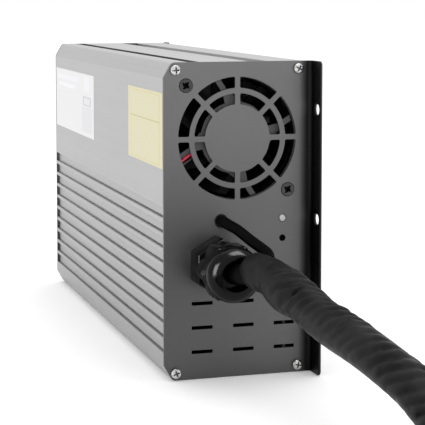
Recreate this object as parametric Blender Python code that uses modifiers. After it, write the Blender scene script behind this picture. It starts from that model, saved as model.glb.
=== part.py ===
"""Battery charger: a finned aluminium case on its narrow side, with a fan, a cable gland and a sleeved output lead.

Every place below is measured from the front plate's lower left corner: x to the right, y into the case and z up.
One empty carries that corner, so that the world's origin lies under the middle of the case. Units are metres.
"""
import math

import bmesh
import bpy
from mathutils import Matrix, Vector

# Case
CASE_WIDTH = 0.0736
CASE_HEIGHT = 0.1488
SHELL_LENGTH = 0.2528
SHEET = 0.0012
CLEARANCE = 0.0003
WALL = 0.0024
CORNER_RUN = 0.0041
CORNER_DROP = 0.0072
CORNER_ROUND = 0.0025
EDGE_ROUND = 0.0015

# Bands along the narrow top and bottom, as shares of the width from the left side, with their depths
SEAM_AT = 0.4416 * CASE_WIDTH
LINE_AT = 0.0992 * CASE_WIDTH
LINE_DEPTH = 0.0005
LEFT_GROOVE_START = 0.1630 * CASE_WIDTH
LEFT_GROOVE_END = 0.2418 * CASE_WIDTH
LEFT_GROOVE_DEPTH = 0.0020
RIGHT_GROOVE_START = 0.5666 * CASE_WIDTH
RIGHT_GROOVE_END = 0.6997 * CASE_WIDTH
RIGHT_GROOVE_DEPTH = 0.0030
LIP_REACH = 0.0041
LIP_THICKNESS = 0.0015
GROOVE_WALL = 0.0022

# Cooling grooves on the left side
FIN_COUNT = 10
FIN_START = 0.0884 * CASE_HEIGHT
FIN_PITCH = 0.0474 * CASE_HEIGHT
FIN_GROOVE = 0.7 * FIN_PITCH
FIN_DEPTH = 0.0031
FIN_ROOT_ROUND = 0.0007
FIN_LIP_ROUND = 0.0004

# Plate screws and their ports
PORT_SIDE = 0.0056
PORT_SIDE_RIGHT = 0.0079
PORT_HEIGHT = 0.0036
PORT_BORE = 0.0017
PORT_RADIUS = 0.0027
SCREW_SHANK = 0.0014
SCREW_HEAD = 0.00245
SCREW_HEAD_HEIGHT = 0.0018
SCREW_LENGTH = 0.0100
CROSS_WIDTH = 0.0007
CROSS_REACH = 0.0014
CROSS_DEPTH = 0.0011

# Flange of both end plates
FLANGE_DEPTH = 0.0116
BEND_RADIUS = 0.0020
FLANGE_CORNER = 0.0020
FLANGE_HOLE_LENGTH = 0.0066
FLANGE_HOLE_HEIGHT = 0.0053
FLANGE_HOLE_SETBACK = 0.0074
FLANGE_HOLE_MIDDLE = 0.4987 * CASE_HEIGHT
FLANGE_HOLE_PITCH = 0.3488 * CASE_HEIGHT

# Vent slots
SLOT_LENGTH = 0.0102
SLOT_HEIGHT = 0.0017
SLOT_PITCH_X = 0.2754 * CASE_WIDTH
SLOT_PITCH_Z = 0.0772 * CASE_HEIGHT
SLOT_LEFT = 0.2519 * CASE_WIDTH
SLOT_LOW = 0.0863 * CASE_HEIGHT
REAR_SLOT_LOW = 0.5107 * CASE_HEIGHT
REAR_SLOT_ROWS = 5

# Fan, whose housing fits the case's width and its upper part
FAN_X = 0.4866 * CASE_WIDTH
FAN_Z = 0.7591 * CASE_HEIGHT
FAN_SIZE = min(0.8152 * CASE_WIDTH, 0.4032 * CASE_HEIGHT)
FAN_DEPTH = 0.0250
FAN_CORNER = 0.0040
FAN_HOLE_OFFSET = FAN_SIZE / 2 - 0.0050
FAN_HOLE = 0.00215
FAN_FLANGE = 0.0035
DUCT_RADIUS = FAN_SIZE / 2 - 0.0013
SHROUD_WALL = 0.0011
MOTOR_BASE_RADIUS = 0.2833 * FAN_SIZE
MOTOR_BASE_THICKNESS = 0.0025
MOTOR_BASE_SETBACK = 0.0020
STRUT_WIDTH = 0.0026
STRUT_OFFSET = 0.1250 * FAN_SIZE
STRUT_COUNT = 4
STRUT_START = math.radians(108)
STRUT_SLANT = math.radians(15)
STRUT_GAP_STEPS = 6
ROTOR_RADIUS = 0.2667 * FAN_SIZE
ROTOR_WALL = 0.0014
ROTOR_GAP = 0.0010
BLADE_COUNT = 7
BLADE_TIP_GAP = 0.0009
BLADE_THICKNESS = 0.0010
BLADE_CHORD = math.radians(43)
BLADE_SWEEP = math.radians(14)
SHAFT_RADIUS = 0.0015
BEARING_RADIUS = 0.0034
TUBE_RADIUS = 0.0050
STATOR_RADIUS = ROTOR_RADIUS - 0.0035
STATOR_LENGTH = 0.0100
STATOR_SLOT = 0.0026
WIRE_RADIUS = 0.00065
WIRE_PITCH = 0.0022
WIRE_ROUTE = [(-0.2500 * FAN_SIZE, -0.0367 * FAN_SIZE), (-0.3883 * FAN_SIZE, -0.1350 * FAN_SIZE),
              (-0.4633 * FAN_SIZE, -0.1883 * FAN_SIZE), (-0.5083 * FAN_SIZE, -0.2183 * FAN_SIZE)]
WIRE_GAP_SHARE = 0.53

# Grille over the fan
GRILLE_RADIUS = DUCT_RADIUS + 0.0002
GRILLE_RING_OUTER = 0.3933 * FAN_SIZE
GRILLE_RING_INNER = 0.3517 * FAN_SIZE
GRILLE_DISC = 0.2650 * FAN_SIZE
SPOKE_COUNT = 8
SPOKE_WIDTH = 0.0025
GRILLE_ROUND = 0.0006

# Fan screws
FAN_SCREW_HEAD = 0.0032
FAN_SCREW_SHANK = 0.0018
FAN_NUT_FLATS = 0.0070
FAN_NUT_HEIGHT = 0.0026

# Lamps
LAMP_X = 0.7906 * CASE_WIDTH
LAMP_Z = 0.5005 * CASE_HEIGHT
DARK_LAMP_Z = 0.4365 * CASE_HEIGHT
LAMP_RADIUS = 0.0016
LAMP_PROUD = 0.0009
LAMP_HOLDER_Y = 0.0080
LAMP_HOLDER_DEPTH = 0.0060

# Cable gland
GLAND_X = 0.3410 * CASE_WIDTH
GLAND_Z = 0.3629 * CASE_HEIGHT
GLAND_FLATS = 0.0240
GLAND_THREAD = 0.0099
GLAND_BORE = 0.0074
COLLAR_DEPTH = 0.0117
NECK_RADIUS = 0.0103
NECK_DEPTH = 0.0120
THREAD_REACH = 0.0110
DOME_NUT_END = 0.0270
DOME_END = 0.0330
DOME_RIM = 0.0129
DOME_MOUTH = 0.0072
LOCKNUT_HEIGHT = 0.0050
SEAL_DEPTH = 0.0100

# Output lead: core, sleeve, coil and connector. The core's and the sleeve's upper points are offsets from the gland
CORE_RADIUS = 0.00475
SLEEVE_RADIUS = 0.0085
CORE_ROUTE = [(0.0, 0.0300, 0.0), (0.0, 0.0100, 0.0), (0.0, -0.0100, 0.0), (0.0, -0.0220, 0.0),
              (0.0002, -0.0280, 0.0001), (0.0010, -0.0325, 0.0004), (0.0024, -0.0356, 0.0010),
              (0.0040, -0.0382, 0.0015)]
SLEEVE_ROUTE = [(0.0079, -0.0400, 0.0024), (0.0123, -0.0580, -0.0014), (0.0169, -0.0780, -0.0059),
                (0.0188, -0.1020, -0.0090), (0.0222, -0.1320, -0.0126)]
SLEEVE_LANDING = [(0.0530, -0.1580, 0.0342), (0.0557, -0.1740, 0.0272), (0.0562, -0.1838, 0.0231)]
COIL_X = -0.0315
COIL_Y = -0.2302
COIL_OUTER = 0.0965
COIL_INNER = 0.0620
COIL_HEIGHT = 0.0170
CONNECTOR_LENGTH = 0.0480
CONNECTOR_WIDTH = 0.0200
CONNECTOR_HEIGHT = 0.0160
CONNECTOR_OFFSET = 0.0466
CONNECTOR_MOUTH_WIDTH = 0.0162
CONNECTOR_MOUTH_HEIGHT = 0.0120
CONNECTOR_MOUTH_DEPTH = 0.0150
CONTACT_RADIUS = 0.0016
CONTACT_SPREAD = 0.0100

# Signal cable, inside as offsets from the board and its hole, and outside from its hole
SIGNAL_X = 0.3777 * CASE_WIDTH
SIGNAL_Z = 0.4993 * CASE_HEIGHT
SIGNAL_RADIUS = 0.00235
GROMMET_OUTER = 0.0030
GROMMET_FLANGE = 0.0044
SIGNAL_BOARD_ROUTE = [(-0.0007, 0.0340, -0.0047), (-0.0060, 0.0339, -0.0046), (-0.0210, 0.0260, -0.0012)]
SIGNAL_ROUTE = [(0.0013, 0.0130, 0.0), (0.0, 0.0030, 0.0), (0.0006, -0.0040, -0.0008),
                (0.0053, -0.0120, -0.0045), (0.0077, -0.0220, -0.0069), (0.0091, -0.0310, -0.0095),
                (0.0099, -0.0385, -0.0115)]

# Mains inlet on the rear plate
INLET_X = 0.4620 * CASE_WIDTH
INLET_Z = 0.2352 * CASE_HEIGHT
INLET_FLANGE_WIDTH = 0.0500
INLET_FLANGE_HEIGHT = 0.0225
INLET_FLANGE_THICKNESS = 0.0025
INLET_WIDTH = 0.0270
INLET_HEIGHT = 0.0196
INLET_DEPTH = 0.0185
SOCKET_WIDTH = 0.0240
SOCKET_HEIGHT = 0.0164
SOCKET_DEPTH = 0.0160
INLET_SCREW_SPREAD = 0.0400
INLET_SCREW_SHANK = 0.0015
PIN_WIDTH = 0.0020
PIN_HEIGHT = 0.0040
PIN_SPREAD = 0.0070
PIN_LENGTH = 0.0120

# Circuit board and what it carries, with its places as shares of the case
BOARD_LEFT = CASE_WIDTH - 0.0126
BOARD_THICKNESS = 0.0016
BOARD_FRONT = 0.0080
BOARD_BEHIND_FAN = 0.0320
BOARD_STEP_Z = FAN_Z - FAN_SIZE / 2 - 0.0040
BOARD_BACK = SHELL_LENGTH - 0.0148
RAIL_HEIGHT = 0.0031
RAIL_WIDTH = 0.0015
CAPACITOR_GAP = 0.0020
INPUT_CAPACITOR_Y = 0.7911 * SHELL_LENGTH
INPUT_CAPACITOR_Z = 0.5712 * CASE_HEIGHT
INPUT_CAPACITOR_RADIUS = 0.0090
INPUT_CAPACITOR_HEIGHT = 0.0300
OUTPUT_CAPACITOR_Y = 0.0600
OUTPUT_CAPACITOR_Z = 0.5376 * CASE_HEIGHT
OUTPUT_CAPACITOR_RADIUS = 0.0062
OUTPUT_CAPACITOR_HEIGHT = 0.0220
TRANSFORMER_Y = 0.5142 * SHELL_LENGTH
TRANSFORMER_Z = 0.6452 * CASE_HEIGHT
CORE_LENGTH = 0.0420
CORE_HEIGHT = 0.0360
CORE_THICKNESS = 0.0140
CORE_LEG = 0.0070
WINDING_DEPTH = 0.0280
CHOKE_Y = 0.6922 * SHELL_LENGTH
CHOKE_Z = 0.7392 * CASE_HEIGHT
CHOKE_RADIUS = 0.0095
CHOKE_WALL = 0.0040
CHOKE_HALF_HEIGHT = 0.0060
CHOKE_FACES = 10
RECTIFIER_LENGTH = 0.0220
RECTIFIER_SETBACK = 0.0200
RECTIFIER_Z = 0.3495 * CASE_HEIGHT
RECTIFIER_THICKNESS = 0.0045
RECTIFIER_REACH = 0.0240
FUSE_Y = 0.5538 * SHELL_LENGTH
FUSE_Z = 0.2688 * CASE_HEIGHT
FUSE_LENGTH = 0.0200
FUSE_RADIUS = 0.0026
HEAT_BAR_FRONT = 0.2373 * SHELL_LENGTH
HEAT_BAR_BACK = 0.8307 * SHELL_LENGTH
HEAT_BAR_LOW = 0.1613 * CASE_HEIGHT
HEAT_BAR_HIGH = 0.3226 * CASE_HEIGHT
HEAT_BAR_THICKNESS = 0.0060
TRANSISTOR_COUNT = 2
TRANSISTOR_WIDTH = 0.0158
TRANSISTOR_THICKNESS = 0.0050
TRANSISTOR_HEIGHT = 0.8750 * (HEAT_BAR_HIGH - HEAT_BAR_LOW)
INNER_WIRE_RADIUS = 0.0011

# Round shapes' steps, and the enlargement at which flat outlines are filled, because the fill merges close points
STEPS = 32
ARC_STEPS = 4
SMALL_HOLE_STEPS = 18
FILL_SCALE = 1000

TOTAL_LENGTH = SHELL_LENGTH + 2 * (SHEET + CLEARANCE)
SHELL_FRONT = SHEET + CLEARANCE
SHELL_BACK = SHELL_FRONT + SHELL_LENGTH
FACING = {"front": (math.pi / 2, 0, 0), "back": (-math.pi / 2, 0, 0), "up": (0, 0, 0),
          "left": (0, -math.pi / 2, 0), "right": (0, math.pi / 2, 0)}
PLANES = {"x": Matrix(((0, 0, 1), (1, 0, 0), (0, 1, 0))),
          "y": Matrix(((1, 0, 0), (0, 0, -1), (0, 1, 0))),
          "z": Matrix.Identity(3)}
MATERIALS = {"finned_aluminium": ((0.62, 0.62, 0.62), 0.38, 1.0), "plain_aluminium": ((0.45, 0.45, 0.46), 0.4, 1.0),
             "grey_paint": ((0.12, 0.12, 0.12), 0.5, 0.2), "bright_screw": ((0.8, 0.8, 0.8), 0.2, 1.0),
             "black_screw": ((0.03, 0.03, 0.03), 0.4, 0.8), "black_plastic": ((0.015, 0.015, 0.015), 0.25, 0.0),
             "dull_plastic": ((0.03, 0.03, 0.03), 0.6, 0.0), "white_lens": ((0.8, 0.8, 0.8), 0.2, 0.0),
             "red_wire": ((0.6, 0.02, 0.05), 0.4, 0.0), "black_wire": ((0.02, 0.02, 0.02), 0.4, 0.0),
             "rubber": ((0.02, 0.02, 0.02), 0.7, 0.0), "sleeve": ((0.03, 0.03, 0.03), 0.55, 0.0),
             "brass": ((0.6, 0.45, 0.15), 0.3, 1.0), "steel": ((0.5, 0.5, 0.5), 0.3, 1.0),
             "board": ((0.02, 0.12, 0.05), 0.5, 0.0), "ferrite": ((0.05, 0.05, 0.05), 0.6, 0.0),
             "copper": ((0.6, 0.25, 0.08), 0.3, 1.0), "capacitor": ((0.05, 0.06, 0.12), 0.4, 0.0)}


def clear_scene():
    """Removes every object that the new file holds."""
    for obj in list(bpy.data.objects):
        bpy.data.objects.remove(obj, do_unlink=True)


def make_collections():
    """Makes the collection of parts and the one of cutters, and the empty at the plate's lower left corner."""
    parts = bpy.data.collections.new("battery_charger")
    cutters = bpy.data.collections.new("cutters")
    for collection in (parts, cutters):
        bpy.context.scene.collection.children.link(collection)
    root = bpy.data.objects.new("plate_corner", None)
    root.location = (-CASE_WIDTH / 2, -TOTAL_LENGTH / 2, 0)
    parts.objects.link(root)
    return parts, cutters, root


def make_materials():
    """One Principled material for each finish."""
    made = {}
    for name, (colour, roughness, metallic) in MATERIALS.items():
        material = bpy.data.materials.new(name)
        material.use_nodes = True
        shader = material.node_tree.nodes["Principled BSDF"]
        shader.inputs["Base Color"].default_value = (*colour, 1)
        shader.inputs["Roughness"].default_value = roughness
        shader.inputs["Metallic"].default_value = metallic
        made[name] = material
    return made


clear_scene()
PARTS, CUTTERS, ROOT = make_collections()
FINISHES = make_materials()


def place(name, data, finish=None, at=(0, 0, 0), facing="up"):
    """Puts a mesh or curve under the corner empty, as a part if it has a finish and else as a cutter."""
    obj = bpy.data.objects.new(name, data)
    obj.parent = ROOT
    obj.location = at
    obj.rotation_euler = FACING[facing]
    if finish:
        PARTS.objects.link(obj)
        data.materials.append(FINISHES[finish])
    else:
        CUTTERS.objects.link(obj)
        obj.hide_render = True
        obj.display_type = "WIRE"
    return obj


def rounded(points, steps=ARC_STEPS):
    """The outline through corners (a, b) or (a, b, radius), with each radius as an arc."""
    outline = []
    for index, point in enumerate(points):
        corner = Vector(point[:2])
        radius = point[2] if len(point) > 2 else 0
        if not radius:
            outline.append(corner)
            continue
        before = (Vector(points[index - 1][:2]) - corner).normalized()
        after = (Vector(points[(index + 1) % len(points)][:2]) - corner).normalized()
        half = math.acos(max(-1, min(1, before.dot(after)))) / 2
        centre = corner + (before + after).normalized() * radius / math.sin(half)
        start = corner + before * radius / math.tan(half) - centre
        end = corner + after * radius / math.tan(half) - centre
        turn = start.angle_signed(end)
        for step in range(steps + 1):
            angle = -turn * step / steps
            swung = Matrix.Rotation(angle, 2) @ start
            outline.append(centre + swung)
    return outline


def circle(x, y, radius, steps=STEPS // 2):
    """A round outline."""
    turns = [2 * math.pi * step / steps for step in range(steps)]
    return [(x + radius * math.cos(turn), y + radius * math.sin(turn)) for turn in turns]


def rectangle(x, y, width, height, radius=0.0, steps=ARC_STEPS):
    """An outline centred on x, y, with rounded corners where a radius is given."""
    corners = [(-1, -1), (1, -1), (1, 1), (-1, 1)]
    return rounded([(x + a * width / 2, y + b * height / 2, radius) for a, b in corners], steps)


def hexagon(x, y, flats, turned=False):
    """A six-sided outline, with its corners up and down unless it is turned."""
    first = 0 if turned else math.pi / 6
    turns = [first + math.pi / 3 * side for side in range(6)]
    reach = flats / math.sqrt(3)
    return [(x + reach * math.cos(turn), y + reach * math.sin(turn)) for turn in turns]


def prism(name, outlines, axis, low, high, finish=None):
    """Flat outlines, the later ones as holes, drawn out along an axis from low to high and made a mesh."""
    curve = bpy.data.curves.new(name, "CURVE")
    curve.dimensions = "2D"
    curve.fill_mode = "BOTH"
    curve.extrude = FILL_SCALE * (high - low) / 2
    for outline in outlines:
        spline = curve.splines.new("POLY")
        spline.points.add(len(outline) - 1)
        for point, corner in zip(spline.points, outline):
            point.co = (FILL_SCALE * corner[0], FILL_SCALE * corner[1], 0, 1)
        spline.use_cyclic_u = True
    flat = bpy.data.objects.new(name, curve)
    bpy.context.scene.collection.objects.link(flat)
    middle = {"x": Vector((1, 0, 0)), "y": Vector((0, 1, 0)), "z": Vector((0, 0, 1))}[axis] * (low + high) / 2
    flat.matrix_world = Matrix.Translation(middle) @ PLANES[axis].to_4x4() @ Matrix.Scale(1 / FILL_SCALE, 4)
    mesh = as_mesh(flat)
    return place(name, mesh, finish)


def as_mesh(curve_object):
    """Turns a curve object into a welded mesh in its own place, and removes the curve."""
    bpy.context.view_layer.update()
    evaluated = curve_object.evaluated_get(bpy.context.evaluated_depsgraph_get())
    mesh = bpy.data.meshes.new_from_object(evaluated)
    mesh.transform(curve_object.matrix_world)
    shape = bmesh.new()
    shape.from_mesh(mesh)
    bmesh.ops.remove_doubles(shape, verts=shape.verts, dist=0.000001)
    bmesh.ops.recalc_face_normals(shape, faces=shape.faces)
    shape.to_mesh(mesh)
    shape.free()
    mesh.materials.clear()
    bpy.data.objects.remove(curve_object, do_unlink=True)
    return mesh


def turned(name, profile, at, facing, finish=None, ring=False, steps=STEPS):
    """A profile of (radius, height), outer side top to bottom, turned about the height axis."""
    mesh = bpy.data.meshes.new(name)
    count = len(profile)
    edges = [(index, index + 1) for index in range(count - 1)]
    if ring:
        edges.append((count - 1, 0))
    mesh.from_pydata([(radius, 0, height) for radius, height in profile], edges, [])
    obj = place(name, mesh, finish, at, facing)
    screw = obj.modifiers.new("turn", "SCREW")
    screw.axis = "Z"
    screw.steps = steps
    screw.render_steps = steps
    screw.use_merge_vertices = True
    screw.merge_threshold = 0.00001
    screw.use_smooth_shade = True
    return obj


def pipe(name, low, high, inner, outer, at, facing, finish=None, steps=STEPS):
    """A straight ring wall from low to high along the way that it faces."""
    profile = [(inner, high), (outer, high), (outer, low), (inner, low)]
    return turned(name, profile, at, facing, finish, ring=True, steps=steps)


def rod(name, low, high, radius, at, facing, finish=None, steps=STEPS):
    """A solid round bar from low to high along the way that it faces."""
    return turned(name, [(0, high), (radius, high), (radius, low), (0, low)], at, facing, finish, steps=steps)


def block(name, low, high, finish=None, bevel=0.0):
    """A box between two corners, with its edges rounded where a bevel is given."""
    mesh = bpy.data.meshes.new(name)
    shape = bmesh.new()
    bmesh.ops.create_cube(shape, size=1)
    size = Vector(high) - Vector(low)
    bmesh.ops.scale(shape, vec=size, verts=shape.verts)
    shape.to_mesh(mesh)
    shape.free()
    obj = place(name, mesh, finish, (Vector(low) + Vector(high)) / 2)
    if bevel:
        rounding = obj.modifiers.new("edges", "BEVEL")
        rounding.width = bevel
        rounding.segments = 2
    return obj


def boolean(obj, other, operation):
    """Cuts, joins or keeps what two shapes share."""
    modifier = obj.modifiers.new(operation.lower(), "BOOLEAN")
    modifier.operation = operation
    modifier.solver = "EXACT"
    modifier.object = other


def smooth_route(points, spacing):
    """Points about one spacing apart on a smooth curve through the route's own points."""
    route = [Vector(point) for point in points]
    padded = [route[0] * 2 - route[1]] + route + [route[-1] * 2 - route[-2]]
    fine = []
    for index in range(1, len(padded) - 2):
        before, start, end, after = padded[index - 1:index + 3]
        for step in range(20):
            t = step / 20
            fine.append(0.5 * (2 * start + (end - before) * t + (2 * before - 5 * start + 4 * end - after) * t * t
                               + (3 * start - before - 3 * end + after) * t ** 3))
    fine.append(route[-1])
    length = sum((b - a).length for a, b in zip(fine, fine[1:]))
    count = max(2, round(length / spacing))
    picked, walked = [fine[0]], 0.0
    for a, b in zip(fine, fine[1:]):
        walked += (b - a).length
        if walked >= length * len(picked) / count and len(picked) < count:
            picked.append(b)
    picked.append(fine[-1])
    return picked


def tube(name, points, radius, finish, spacing=2.5, resolution=2):
    """A round cord along a smooth route, with closed ends."""
    curve = bpy.data.curves.new(name, "CURVE")
    curve.dimensions = "3D"
    curve.bevel_depth = radius
    curve.bevel_resolution = resolution
    curve.use_fill_caps = True
    route = smooth_route(points, spacing * 2 * radius)
    spline = curve.splines.new("POLY")
    spline.points.add(len(route) - 1)
    for point, position in zip(spline.points, route):
        point.co = (*position, 1)
    return place(name, curve, finish)


def from_top(points):
    """The same corners measured up from the bottom, in the opposite order."""
    return [(point[0], CASE_HEIGHT - point[1], *point[2:]) for point in reversed(points)]


def screw_places():
    """The four plate screws, as x and z."""
    lows = (PORT_HEIGHT, CASE_HEIGHT - PORT_HEIGHT)
    return [(x, z) for x in (PORT_SIDE, CASE_WIDTH - PORT_SIDE_RIGHT) for z in lows]


def left_shell():
    """The finned half: its narrow top and bottom bands, ten grooves and two screw ports."""
    top = CASE_HEIGHT
    outer = [(SEAM_AT, top), (LEFT_GROOVE_END, top), (LEFT_GROOVE_END, top - LEFT_GROOVE_DEPTH),
             (LEFT_GROOVE_START, top - LEFT_GROOVE_DEPTH), (LEFT_GROOVE_START, top),
             (LINE_AT + LINE_DEPTH / 2, top), (LINE_AT, top - LINE_DEPTH), (LINE_AT - LINE_DEPTH / 2, top),
             (CORNER_RUN, top, CORNER_ROUND), (0, top - CORNER_DROP, EDGE_ROUND)]
    grooves = []
    for index in reversed(range(FIN_COUNT)):
        low = FIN_START + FIN_PITCH * index
        high = low + FIN_GROOVE
        grooves += [(0, high, FIN_LIP_ROUND), (FIN_DEPTH, high, FIN_ROOT_ROUND),
                    (FIN_DEPTH, low, FIN_ROOT_ROUND), (0, low, FIN_LIP_ROUND)]
    deep = LEFT_GROOVE_DEPTH + GROOVE_WALL
    port = PORT_SIDE + PORT_RADIUS
    port_drop = PORT_HEIGHT + PORT_RADIUS
    roof = [(WALL, top - port_drop), (port, top - port_drop, PORT_RADIUS / 2), (port, top - deep),
            (LEFT_GROOVE_END + WALL, top - deep), (LEFT_GROOVE_END + WALL, top - WALL), (SEAM_AT, top - WALL)]
    fins_end = FIN_START + FIN_PITCH * (FIN_COUNT - 1) + FIN_GROOVE
    fin_wall = FIN_DEPTH + GROOVE_WALL
    side = [(fin_wall, port_drop), (fin_wall, fins_end + CLEARANCE), (WALL, fins_end + FIN_DEPTH)]
    floor = from_top(roof)[:-1]
    outline = rounded(outer + grooves + from_top(outer) + floor + side + roof, 2)
    ports = [circle(x, z, PORT_BORE, 12) for x, z in screw_places()[:2]]
    return prism("left_shell", [outline] + ports, "y", SHELL_FRONT, SHELL_BACK, "finned_aluminium")


def right_shell():
    """The plain half: its bands, the lip under the other half's edge, the board's rails and two screw ports."""
    top = CASE_HEIGHT
    start = SEAM_AT + CLEARANCE
    lip_top = top - WALL - CLEARANCE
    lip_low = lip_top - LIP_THICKNESS
    outer = [(start, lip_top), (start, top), (RIGHT_GROOVE_START, top),
             (RIGHT_GROOVE_START, top - RIGHT_GROOVE_DEPTH), (RIGHT_GROOVE_END, top - RIGHT_GROOVE_DEPTH),
             (RIGHT_GROOVE_END, top), (CASE_WIDTH - CORNER_RUN, top, CORNER_ROUND),
             (CASE_WIDTH, top - CORNER_DROP, EDGE_ROUND)]
    deep = RIGHT_GROOVE_DEPTH + GROOVE_WALL
    port = CASE_WIDTH - PORT_SIDE_RIGHT - PORT_RADIUS
    port_drop = PORT_HEIGHT + PORT_RADIUS
    rail = BOARD_LEFT - CLEARANCE
    roof = [(CASE_WIDTH - WALL, top - port_drop), (port, top - port_drop, PORT_RADIUS / 2), (port, top - WALL),
            (rail, top - WALL), (rail, top - WALL - RAIL_HEIGHT), (rail - RAIL_WIDTH, top - WALL - RAIL_HEIGHT),
            (rail - RAIL_WIDTH, top - WALL), (RIGHT_GROOVE_END + WALL, top - WALL),
            (RIGHT_GROOVE_END + WALL, top - deep), (RIGHT_GROOVE_START - WALL, top - deep),
            (RIGHT_GROOVE_START - 2 * WALL, lip_low), (start - LIP_REACH, lip_low), (start - LIP_REACH, lip_top)]
    outline = rounded(outer + from_top(outer) + from_top(roof) + roof, 2)
    ports = [circle(x, z, PORT_BORE, 12) for x, z in screw_places()[2:]]
    return prism("right_shell", [outline] + ports, "y", SHELL_FRONT, SHELL_BACK, "plain_aluminium")


def grille_slot(inner, outer, first, steps):
    """One opening of the grille between two radii and two spokes, with small round corners."""
    span = 2 * math.pi / SPOKE_COUNT
    sides = []
    for radius, order in ((outer, range(steps + 1)), (inner, reversed(range(steps + 1)))):
        edge = math.asin(SPOKE_WIDTH / 2 / radius)
        for step in order:
            turn = first + edge + (span - 2 * edge) * step / steps
            corner = GRILLE_ROUND if step in (0, steps) else 0
            sides.append((FAN_X + radius * math.cos(turn), FAN_Z + radius * math.sin(turn), corner))
    return rounded(sides, 2)


def folded_plate(name, openings, rear=False):
    """An end plate with its flange, cut by the openings given as outlines in x and z."""
    face = TOTAL_LENGTH if rear else 0.0
    out = -1.0 if rear else 1.0

    def y(depth):
        """The y of a depth behind this plate's outer face."""
        return face + out * depth

    inside = CASE_WIDTH - SHEET
    fold = rounded([(0, y(0)), (inside, y(0), BEND_RADIUS), (inside, y(-FLANGE_DEPTH)),
                    (CASE_WIDTH, y(-FLANGE_DEPTH)), (CASE_WIDTH, y(SHEET), BEND_RADIUS + SHEET), (0, y(SHEET))])
    sheet = prism(name, [fold], "z", 0, CASE_HEIGHT, "grey_paint")
    beyond = CASE_WIDTH + SHEET
    low, high = sorted((y(-FLANGE_DEPTH - SHEET), y(2 * SHEET)))
    top = CASE_HEIGHT
    front_view = rounded([(0, CORNER_DROP, EDGE_ROUND), (CORNER_RUN, 0, CORNER_ROUND), (beyond, 0), (beyond, top),
                          (CORNER_RUN, top, CORNER_ROUND), (0, top - CORNER_DROP, EDGE_ROUND)])
    boolean(sheet, prism(name + "_face", [front_view], "y", low, high), "INTERSECT")
    edge, back = y(-FLANGE_DEPTH), y(2 * SHEET)
    side_view = rounded([(back, 0), (edge, 0, FLANGE_CORNER), (edge, top, FLANGE_CORNER), (back, top)])
    boolean(sheet, prism(name + "_side", [side_view], "x", -SHEET, beyond), "INTERSECT")
    holes = [circle(x, z, PORT_BORE, SMALL_HOLE_STEPS) for x, z in screw_places()]
    boolean(sheet, prism(name + "_cuts", openings + holes, "y", low, high), "DIFFERENCE")
    mounting = []
    for row in (-1, 0, 1):
        z = FLANGE_HOLE_MIDDLE + row * FLANGE_HOLE_PITCH
        mounting.append(rectangle(y(-FLANGE_HOLE_SETBACK), z, FLANGE_HOLE_LENGTH, FLANGE_HOLE_HEIGHT,
                                  FLANGE_HOLE_HEIGHT * 0.49))
    boolean(sheet, prism(name + "_flange_cuts", mounting, "x", inside - SHEET, beyond), "DIFFERENCE")
    return sheet


def vent_slots(low, rows):
    """Rows of three short slots."""
    return [rectangle(SLOT_LEFT + column * SLOT_PITCH_X, low + row * SLOT_PITCH_Z, SLOT_LENGTH, SLOT_HEIGHT)
            for column in range(3) for row in range(rows)]


def front_plate():
    """The plate with the grille, the gland and cable holes, the lamps and nine vent slots."""
    span = 2 * math.pi / SPOKE_COUNT
    openings = vent_slots(SLOT_LOW, 3)
    for index in range(SPOKE_COUNT):
        openings.append(grille_slot(GRILLE_RING_OUTER, GRILLE_RADIUS, span * index, 7))
        openings.append(grille_slot(GRILLE_DISC, GRILLE_RING_INNER, span * index, 5))
    openings.append(circle(GLAND_X, GLAND_Z, GLAND_THREAD + CLEARANCE, STEPS))
    openings.append(circle(SIGNAL_X, SIGNAL_Z, GROMMET_OUTER + CLEARANCE))
    openings.append(circle(LAMP_X, LAMP_Z, LAMP_RADIUS + CLEARANCE, SMALL_HOLE_STEPS))
    openings.append(circle(LAMP_X, DARK_LAMP_Z, LAMP_RADIUS, SMALL_HOLE_STEPS))
    plate = folded_plate("front_plate", openings)
    head = FAN_SCREW_HEAD + CLEARANCE
    shank = FAN_HOLE
    for index, (x, z) in enumerate(fan_screw_places()):
        profile = [(0, SHEET / 2), (head + SHEET / 2, SHEET / 2), (head, 0), (shank, -SHEET),
                   (shank, -2 * SHEET), (0, -2 * SHEET)]
        boolean(plate, turned(f"fan_screw_cut_{index}", profile, (x, 0, z), "front", steps=16), "DIFFERENCE")
    return plate


def rear_plate():
    """The plate with the mains inlet's opening and the air outlet's slots."""
    openings = vent_slots(REAR_SLOT_LOW, REAR_SLOT_ROWS)
    grow = 2 * CLEARANCE
    openings.append(rectangle(INLET_X, INLET_Z, INLET_WIDTH + grow, INLET_HEIGHT + grow))
    openings += [circle(x, INLET_Z, INLET_SCREW_SHANK + CLEARANCE, 12) for x in inlet_screw_places()]
    return folded_plate("rear_plate", openings, rear=True)


def cross_screw(name, at, facing, head, height, shank, length, finish="bright_screw"):
    """A pan head screw with a cross recess; its head's underside is at the height axis' zero."""
    profile = [(0, height), (head * 0.55, height), (head * 0.9, height * 0.65), (head, height * 0.15), (head, 0),
               (shank, 0), (shank, -length), (0, -length)]
    body = turned(name, profile, at, facing, finish, steps=16)
    cross_cut(body, at, facing, height)


def cross_cut(body, at, facing, top):
    """Cuts a cross recess into the top of a screw."""
    for index, (wide, deep) in enumerate(((CROSS_REACH, CROSS_WIDTH / 2), (CROSS_WIDTH / 2, CROSS_REACH))):
        outline = [(-wide, -deep), (wide, -deep), (wide, deep), (-wide, deep)]
        bar = prism(f"{body.name}_cross_{index}", [outline], "z", top - CROSS_DEPTH, top + CROSS_DEPTH)
        bar.location = at
        bar.rotation_euler = FACING[facing]
        boolean(body, bar, "DIFFERENCE")


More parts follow.
